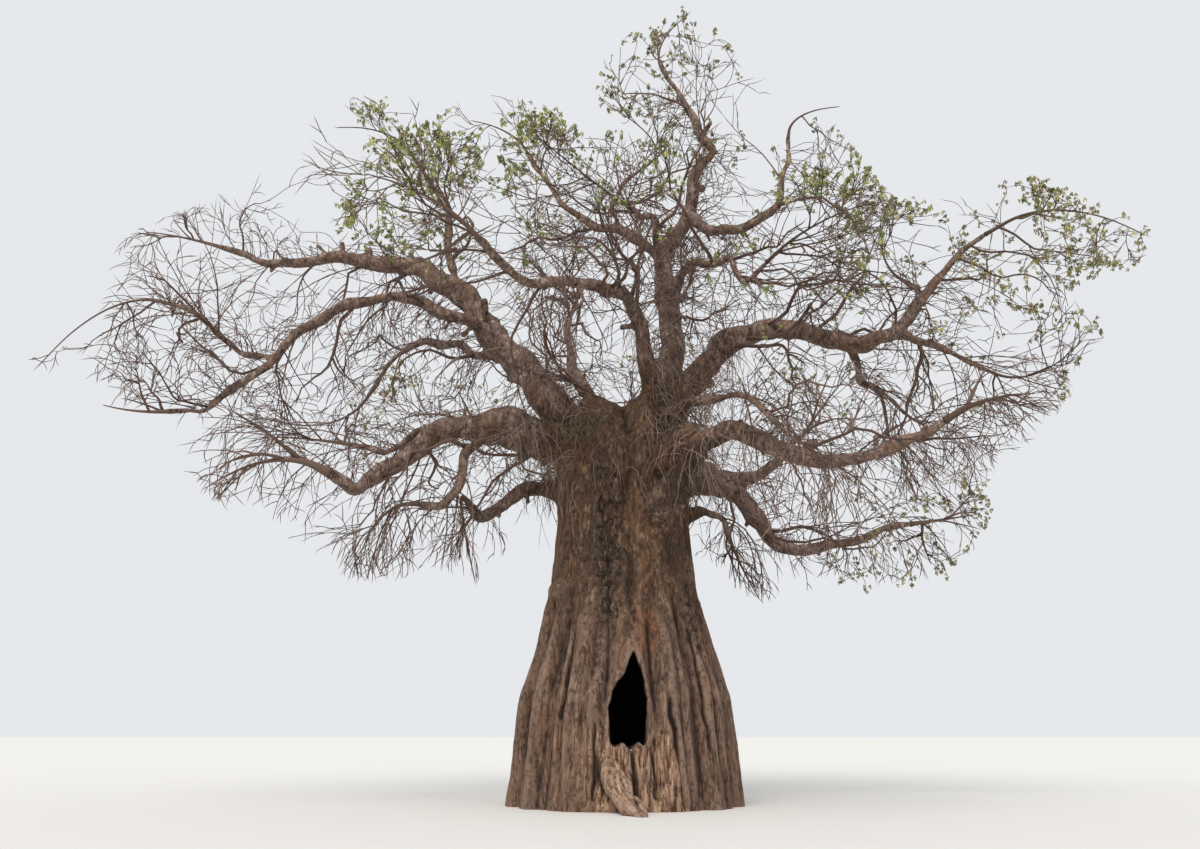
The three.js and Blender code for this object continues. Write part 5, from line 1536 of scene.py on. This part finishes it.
def leafy_tips(levels):
    """The twigs that bear a spray of leaves at the tip"""
    tips = joined_twigs(*(levels[level].with_points(levels[level].points[:, -2:]) for level in LEAFY_LEVELS))
    place = tips.points[:, -1]
    deep = depth_in(place, tips.mass)
    share = LEAFY[tips.mass] * SPRAYS * (1 - smooth_step(*LEAFY_TO, deep)) * smooth_step(*LEAFY_FROM, deep)
    height = (place - MIDDLES[tips.mass])[:, 2]
    share *= mix(LEAFY_BELOW, LEAFY_ABOVE, smooth_step(*LEAFY_HEIGHTS, height))
    share *= 1 + lumps_of("leaf_clumps", place)
    return tips.some(chance(tips.seed, DRAWS["leaf"]) < share)


# Materials

# The bark's colours as a screen shows them, and where each stands between its noise's low and high values
UPPER_RAMP = [(0.4, (24, 17, 13)), (0.46, (71, 53, 41)), (0.53, (102, 79, 61)), (0.59, (162, 134, 110))]
FOOT_RAMP = [(0.36, (54, 40, 32)), (0.46, (93, 72, 59)), (0.54, (114, 90, 75)), (0.66, (154, 126, 109))]
BOUGH_RAMP = [(0.38, (42, 32, 27)), (0.46, (92, 75, 65)), (0.54, (134, 112, 100)), (0.62, (184, 161, 148))]
TORN_RAMP = [(0.38, (50, 35, 26)), (0.46, (112, 84, 65)), (0.54, (146, 114, 91)), (0.64, (182, 151, 126))]
SPUR_RAMP = [(0.36, (84, 62, 49)), (0.46, (138, 109, 88)), (0.56, (170, 140, 116)), (0.66, (194, 166, 142))]
UPPER_HEIGHT = 5.6
FOOT_HEIGHT = 2.9


def linear(*colour):
    """A linear colour from the red, green and blue that a screen shows, each from 0 to 255"""
    parts = [value / 255 for value in colour]
    return tuple(v / 12.92 if v < 0.04045 else ((v + 0.055) / 1.055) ** 2.4 for v in parts) + (1.0,)


class Nodes:
    """A material's node tree, with short names for the nodes that the bark needs"""

    def __init__(self, name):
        self.material = bpy.data.materials.new(name)
        self.material.use_nodes = True
        self.tree = self.material.node_tree
        self.shader = self.tree.nodes["Principled BSDF"]

    def link(self, value, socket):
        if isinstance(value, bpy.types.NodeSocket):
            self.tree.links.new(value, socket)
        else:
            socket.default_value = value

    def add(self, kind, inputs, **settings):
        node = self.tree.nodes.new("ShaderNode" + kind)
        for setting, value in settings.items():
            setattr(node, setting, value)
        for name, value in inputs.items():
            self.link(value, node.inputs[name])
        return node

    def mark(self, name):
        return self.add("Attribute", {}, attribute_name=name).outputs["Fac"]

    def noise_at(self, mapped, **inputs):
        inputs = {"Vector": mapped.outputs["Vector"], "Scale": 1.0, **inputs}
        return self.add("TexNoise", inputs).outputs["Fac"]

    def noise(self, place, stretch, detail, roughness, distortion=0.0):
        mapped = self.add("Mapping", {"Vector": place, "Scale": stretch})
        return self.noise_at(mapped, Detail=detail, Roughness=roughness, Distortion=distortion)

    def noise_down_spur(self, place, size):
        """Noise stretched down the root spur"""
        turn = Matrix(spur_axes().tolist()).to_euler()
        inputs = {"Vector": place, "Scale": size, "Rotation": turn}
        return self.noise_at(self.add("Mapping", inputs, vector_type="TEXTURE"), Detail=6, Roughness=0.65)

    def between(self, value, low, high):
        """0 where value is at low, 1 where it is at high, and smooth between them"""
        inputs = {"Value": value, "From Min": low, "From Max": high}
        return self.add("MapRange", inputs, interpolation_type="SMOOTHSTEP").outputs["Result"]

    def maths(self, operation, a, b=0.0):
        node = self.add("Math", {}, operation=operation)
        self.link(a, node.inputs[0])
        self.link(b, node.inputs[1])
        return node.outputs[0]

    def plus(self, a, b):
        return self.maths("ADD", a, b)

    def minus(self, a, b):
        return self.maths("SUBTRACT", a, b)

    def times(self, a, b):
        return self.maths("MULTIPLY", a, b)

    def blend(self, part, first, second):
        node = self.add("Mix", {}, data_type="RGBA")
        self.link(part, node.inputs["Factor"])
        self.link(first, node.inputs[6])
        self.link(second, node.inputs[7])
        return node.outputs[2]

    def tint(self, colour, part, strength, shade):
        """The colour blended toward a shade, by a part and a strength"""
        return self.blend(self.times(part, strength), colour, linear(*shade))

    def stain(self, colour, mark, pattern, low, high, strength, shade):
        """The colour tinted on a mark, where a pattern rises from low to high"""
        part = self.times(self.mark(mark), self.between(pattern, low, high))
        return self.tint(colour, part, strength, shade)

    def ramp(self, value, stops):
        node = self.add("ValToRGB", {"Fac": value})
        elements = node.color_ramp.elements
        while len(elements) < len(stops):
            elements.new(0.5)
        for element, (position, colour) in zip(elements, stops):
            element.position = position
            element.color = colour
        return node.outputs["Color"]

    def shades(self, value, stops):
        return self.ramp(value, [(position, linear(*shade)) for position, shade in stops])


def bark_material():
    nodes = Nodes("bark")
    place = nodes.add("TexCoord", {}).outputs["Object"]
    height = nodes.add("SeparateXYZ", {"Vector": place}).outputs["Z"]
    streaks = nodes.noise(place, (5.5, 5.5, 0.6), 8, 0.65, 0.3)
    grain = nodes.noise(place, (15, 15, 6), 7, 0.72)
    blotch = nodes.noise(place, (0.9, 0.9, 0.5), 5, 0.6)
    mottle = nodes.noise(place, (3.6, 3.6, 2.6), 8, 0.7)
    pits = nodes.noise(place, (12, 12, 7), 4, 0.7)

    # The upper trunk, the foot and the boughs
    tone = nodes.plus(nodes.times(streaks, 0.62), nodes.times(grain, 0.38))
    patchy = nodes.plus(nodes.times(mottle, 0.4), nodes.times(grain, 0.4))
    patchy = nodes.plus(patchy, nodes.times(streaks, 0.2))
    upper = nodes.shades(patchy, UPPER_RAMP)
    foot = nodes.shades(tone, FOOT_RAMP)
    bough = nodes.shades(nodes.plus(nodes.times(mottle, 0.55), nodes.times(grain, 0.45)), BOUGH_RAMP)
    upper = nodes.tint(upper, nodes.minus(1.0, nodes.mark("speckled")), 0.25, (88, 67, 52))
    upper = nodes.tint(upper, nodes.between(blotch, 0.52, 0.38), 0.45, (58, 44, 34))
    colour = nodes.blend(nodes.between(height, UPPER_HEIGHT, FOOT_HEIGHT), upper, foot)
    colour = nodes.blend(nodes.mark("bough"), colour, bough)

    # The marks
    colour = nodes.tint(colour, nodes.between(blotch, 0.5, 0.62), 0.45, (112, 82, 60))
    colour = nodes.stain(colour, "rust", grain, 0.4, 0.56, 0.7, (136, 86, 56))
    colour = nodes.stain(colour, "dark", mottle, 0.36, 0.58, 0.75, (38, 28, 21))
    # Painted shadow under the collar of bough_right_middle, on the "deep" mark
    colour = nodes.tint(colour, nodes.mark("deep"), 0.8, (40, 26, 18))
    colour = nodes.stain(colour, "moss", grain, 0.42, 0.56, 0.6, (98, 88, 52))
    colour = nodes.stain(colour, "speckled", grain, 0.54, 0.6, 0.55, (122, 104, 90))
    fibres = nodes.noise(place, (15, 15, 1.7), 6, 0.65, 0.4)
    torn = nodes.shades(fibres, TORN_RAMP)
    colour = nodes.blend(nodes.mark("torn"), colour, torn)
    on_spur = nodes.times(nodes.mark("torn"), nodes.mark("spur"))
    spur = nodes.shades(nodes.noise_down_spur(place, (0.07, 0.07, 0.6)), SPUR_RAMP)
    colour = nodes.blend(on_spur, colour, spur)

    # Painted shade in the grooves, a painted highlight on the ridges, then cracks, pits, and painted shade
    # in the hollow
    # Painted shade: darker where the surface lies in a groove or crease
    colour = nodes.tint(colour, nodes.between(nodes.mark("cavity"), 0.56, 0.9), 0.85, (28, 20, 16))
    # Painted highlight: lighter where the surface stands out on a ridge, more so at the foot
    ridge = nodes.between(nodes.mark("cavity"), 0.46, 0.12)
    ridge = nodes.times(ridge, nodes.plus(nodes.between(height, UPPER_HEIGHT, FOOT_HEIGHT), 0.3))
    colour = nodes.tint(colour, ridge, 0.35, (152, 128, 112))
    lines = nodes.maths("ABSOLUTE", nodes.minus(nodes.noise(place, (3.4, 3.4, 0.34), 3, 0.5), 0.5))
    lines = nodes.between(lines, 0.016, 0.004)
    on_trunk = nodes.minus(0.55, nodes.times(nodes.mark("bough"), 0.4))
    colour = nodes.tint(colour, lines, on_trunk, (30, 22, 18))
    pitted = nodes.plus(nodes.times(nodes.mark("dark"), 0.6), 0.4)
    colour = nodes.tint(colour, nodes.between(pits, 0.55, 0.62), pitted, (24, 18, 14))
    # Painted shade: the walls of the hollow made nearly black
    colour = nodes.tint(colour, nodes.mark("inside"), 0.9, (18, 13, 10))

    roughness = nodes.ramp(grain, [(0.3, (0.95, 0.95, 0.95, 1)), (0.7, (0.78, 0.78, 0.78, 1))])
    relief = nodes.plus(grain, nodes.times(streaks, 0.4))
    relief = nodes.minus(relief, nodes.between(pits, 0.54, 0.64))
    relief = nodes.minus(relief, nodes.times(lines, 0.6))
    bump = nodes.add("Bump", {"Height": relief, "Strength": 0.6, "Distance": 0.05})
    nodes.link(colour, nodes.shader.inputs["Base Color"])
    nodes.link(roughness, nodes.shader.inputs["Roughness"])
    nodes.link(bump.outputs["Normal"], nodes.shader.inputs["Normal"])
    nodes.shader.inputs["Specular IOR Level"].default_value = 0.25
    return nodes.material


def plain_material(name, colour, roughness):
    nodes = Nodes(name)
    nodes.shader.inputs["Base Color"].default_value = linear(*(255 * value for value in colour))
    nodes.shader.inputs["Roughness"].default_value = roughness
    nodes.shader.inputs["Specular IOR Level"].default_value = 0.2
    return nodes.material


def plain_materials(name, tones, roughness):
    return [plain_material(f"{name}_{i}", tone, roughness) for i, tone in enumerate(tones)]


# Stage

CAMERA = {"place": (-0.5, -25.0, 1.6), "up_tilt": 17.15, "lens": 30.0, "sensor": 36.0, "far": 1000}
FLOOR = {"reach": 400, "height": -0.002, "colour": (0.85, 0.84, 0.82), "roughness": 0.9}
SKY = {"colour": (0.93, 0.95, 0.98, 1), "strength": 0.85}
SUN = {"energy": 2.2, "size": 40, "colour": (1.0, 0.98, 0.95), "high": 42, "round": -16}


def make_stage():
    camera_data = bpy.data.cameras.new("camera")
    camera_data.lens = CAMERA["lens"]
    camera_data.sensor_width = CAMERA["sensor"]
    camera_data.clip_end = CAMERA["far"]
    camera = new_object("camera", camera_data)
    camera.location = CAMERA["place"]
    camera.rotation_euler = (math.radians(90 + CAMERA["up_tilt"]), 0, 0)
    bpy.context.scene.camera = camera

    corners = [(-1, -1), (1, -1), (1, 1), (-1, 1)]
    points = [(x * FLOOR["reach"], y * FLOOR["reach"], FLOOR["height"]) for x, y in corners]
    floor = new_object("floor", new_mesh("floor", points, [(0, 1, 2, 3)]))
    floor.data.materials.append(plain_material("floor", FLOOR["colour"], FLOOR["roughness"]))

    world = bpy.data.worlds.new("pale")
    world.use_nodes = True
    world.node_tree.nodes["Background"].inputs["Color"].default_value = SKY["colour"]
    world.node_tree.nodes["Background"].inputs["Strength"].default_value = SKY["strength"]
    bpy.context.scene.world = world

    sun_data = bpy.data.lights.new("sun", "SUN")
    sun_data.energy = SUN["energy"]
    sun_data.angle = math.radians(SUN["size"])
    sun_data.color = SUN["colour"]
    sun = new_object("sun", sun_data)
    sun.rotation_euler = (math.radians(SUN["high"]), 0, math.radians(SUN["round"]))
    bpy.context.scene.view_settings.view_transform = "Standard"


# Which limbs' bark makes up each piece, by their order in LIMBS
BARK_PIECES = {"bark_left": (0, 9), "bark_top": (9, 18), "bark_right": (18, 26), "bark_back": (26, 29)}
NODES_OF_LIMBS = {"bough_left_arch": ["bough_left_arch", "bough_left_arch_outer"], "spur_right_upper": []}


def build():
    limbs = grow_limbs()
    limb_balls = Limbs(limbs)
    surface = bark_surface(limbs, limb_balls)
    bark = bark_material()
    bark_piece("bark_trunk_foot", surface, [FOOT_OWNER], bark, ["trunk"])
    bark_piece("bark_trunk_top", surface, [TOP_OWNER], bark, ["trunk"])
    for name, (first, last) in BARK_PIECES.items():
        nodes = [node for row in LIMBS[first:last] for node in NODES_OF_LIMBS.get(row[0], [row[0]])]
        bark_piece(name, surface, range(first, last), bark, nodes)

    levels = grow_twigs(limbs, limb_balls, surface)
    browns = plain_materials("twig", ALL_TONES, 0.85)
    fresh = plain_materials("fresh_leaf", FRESH_TONES, 0.6)
    olive = plain_materials("olive_leaf", OLIVE_TONES, 0.6)
    leafy = leafy_tips(levels)
    for region, (name, masses) in enumerate(REGIONS.items()):
        mesh = new_mesh("bare_" + name, *join_tubes(levels, region))
        add_piece("bare_" + name, mesh, browns, ["twigs_" + mass for mass in masses])
        tips = leafy.some(REGION_OF[leafy.mass] == region)
        if len(tips):
            points, triangles, tones = make_leaves(tips)
            mesh = new_mesh("leaves_" + name, points, (), triangles, tones)
            greens = fresh if name in FRESH_REGIONS else olive
            nodes = ["twigs_" + mass for mass in masses if LEAFY[MASS_NAMES.index(mass)] > 0]
            add_piece("leaves_" + name, mesh, greens, nodes)


build()
make_stage()
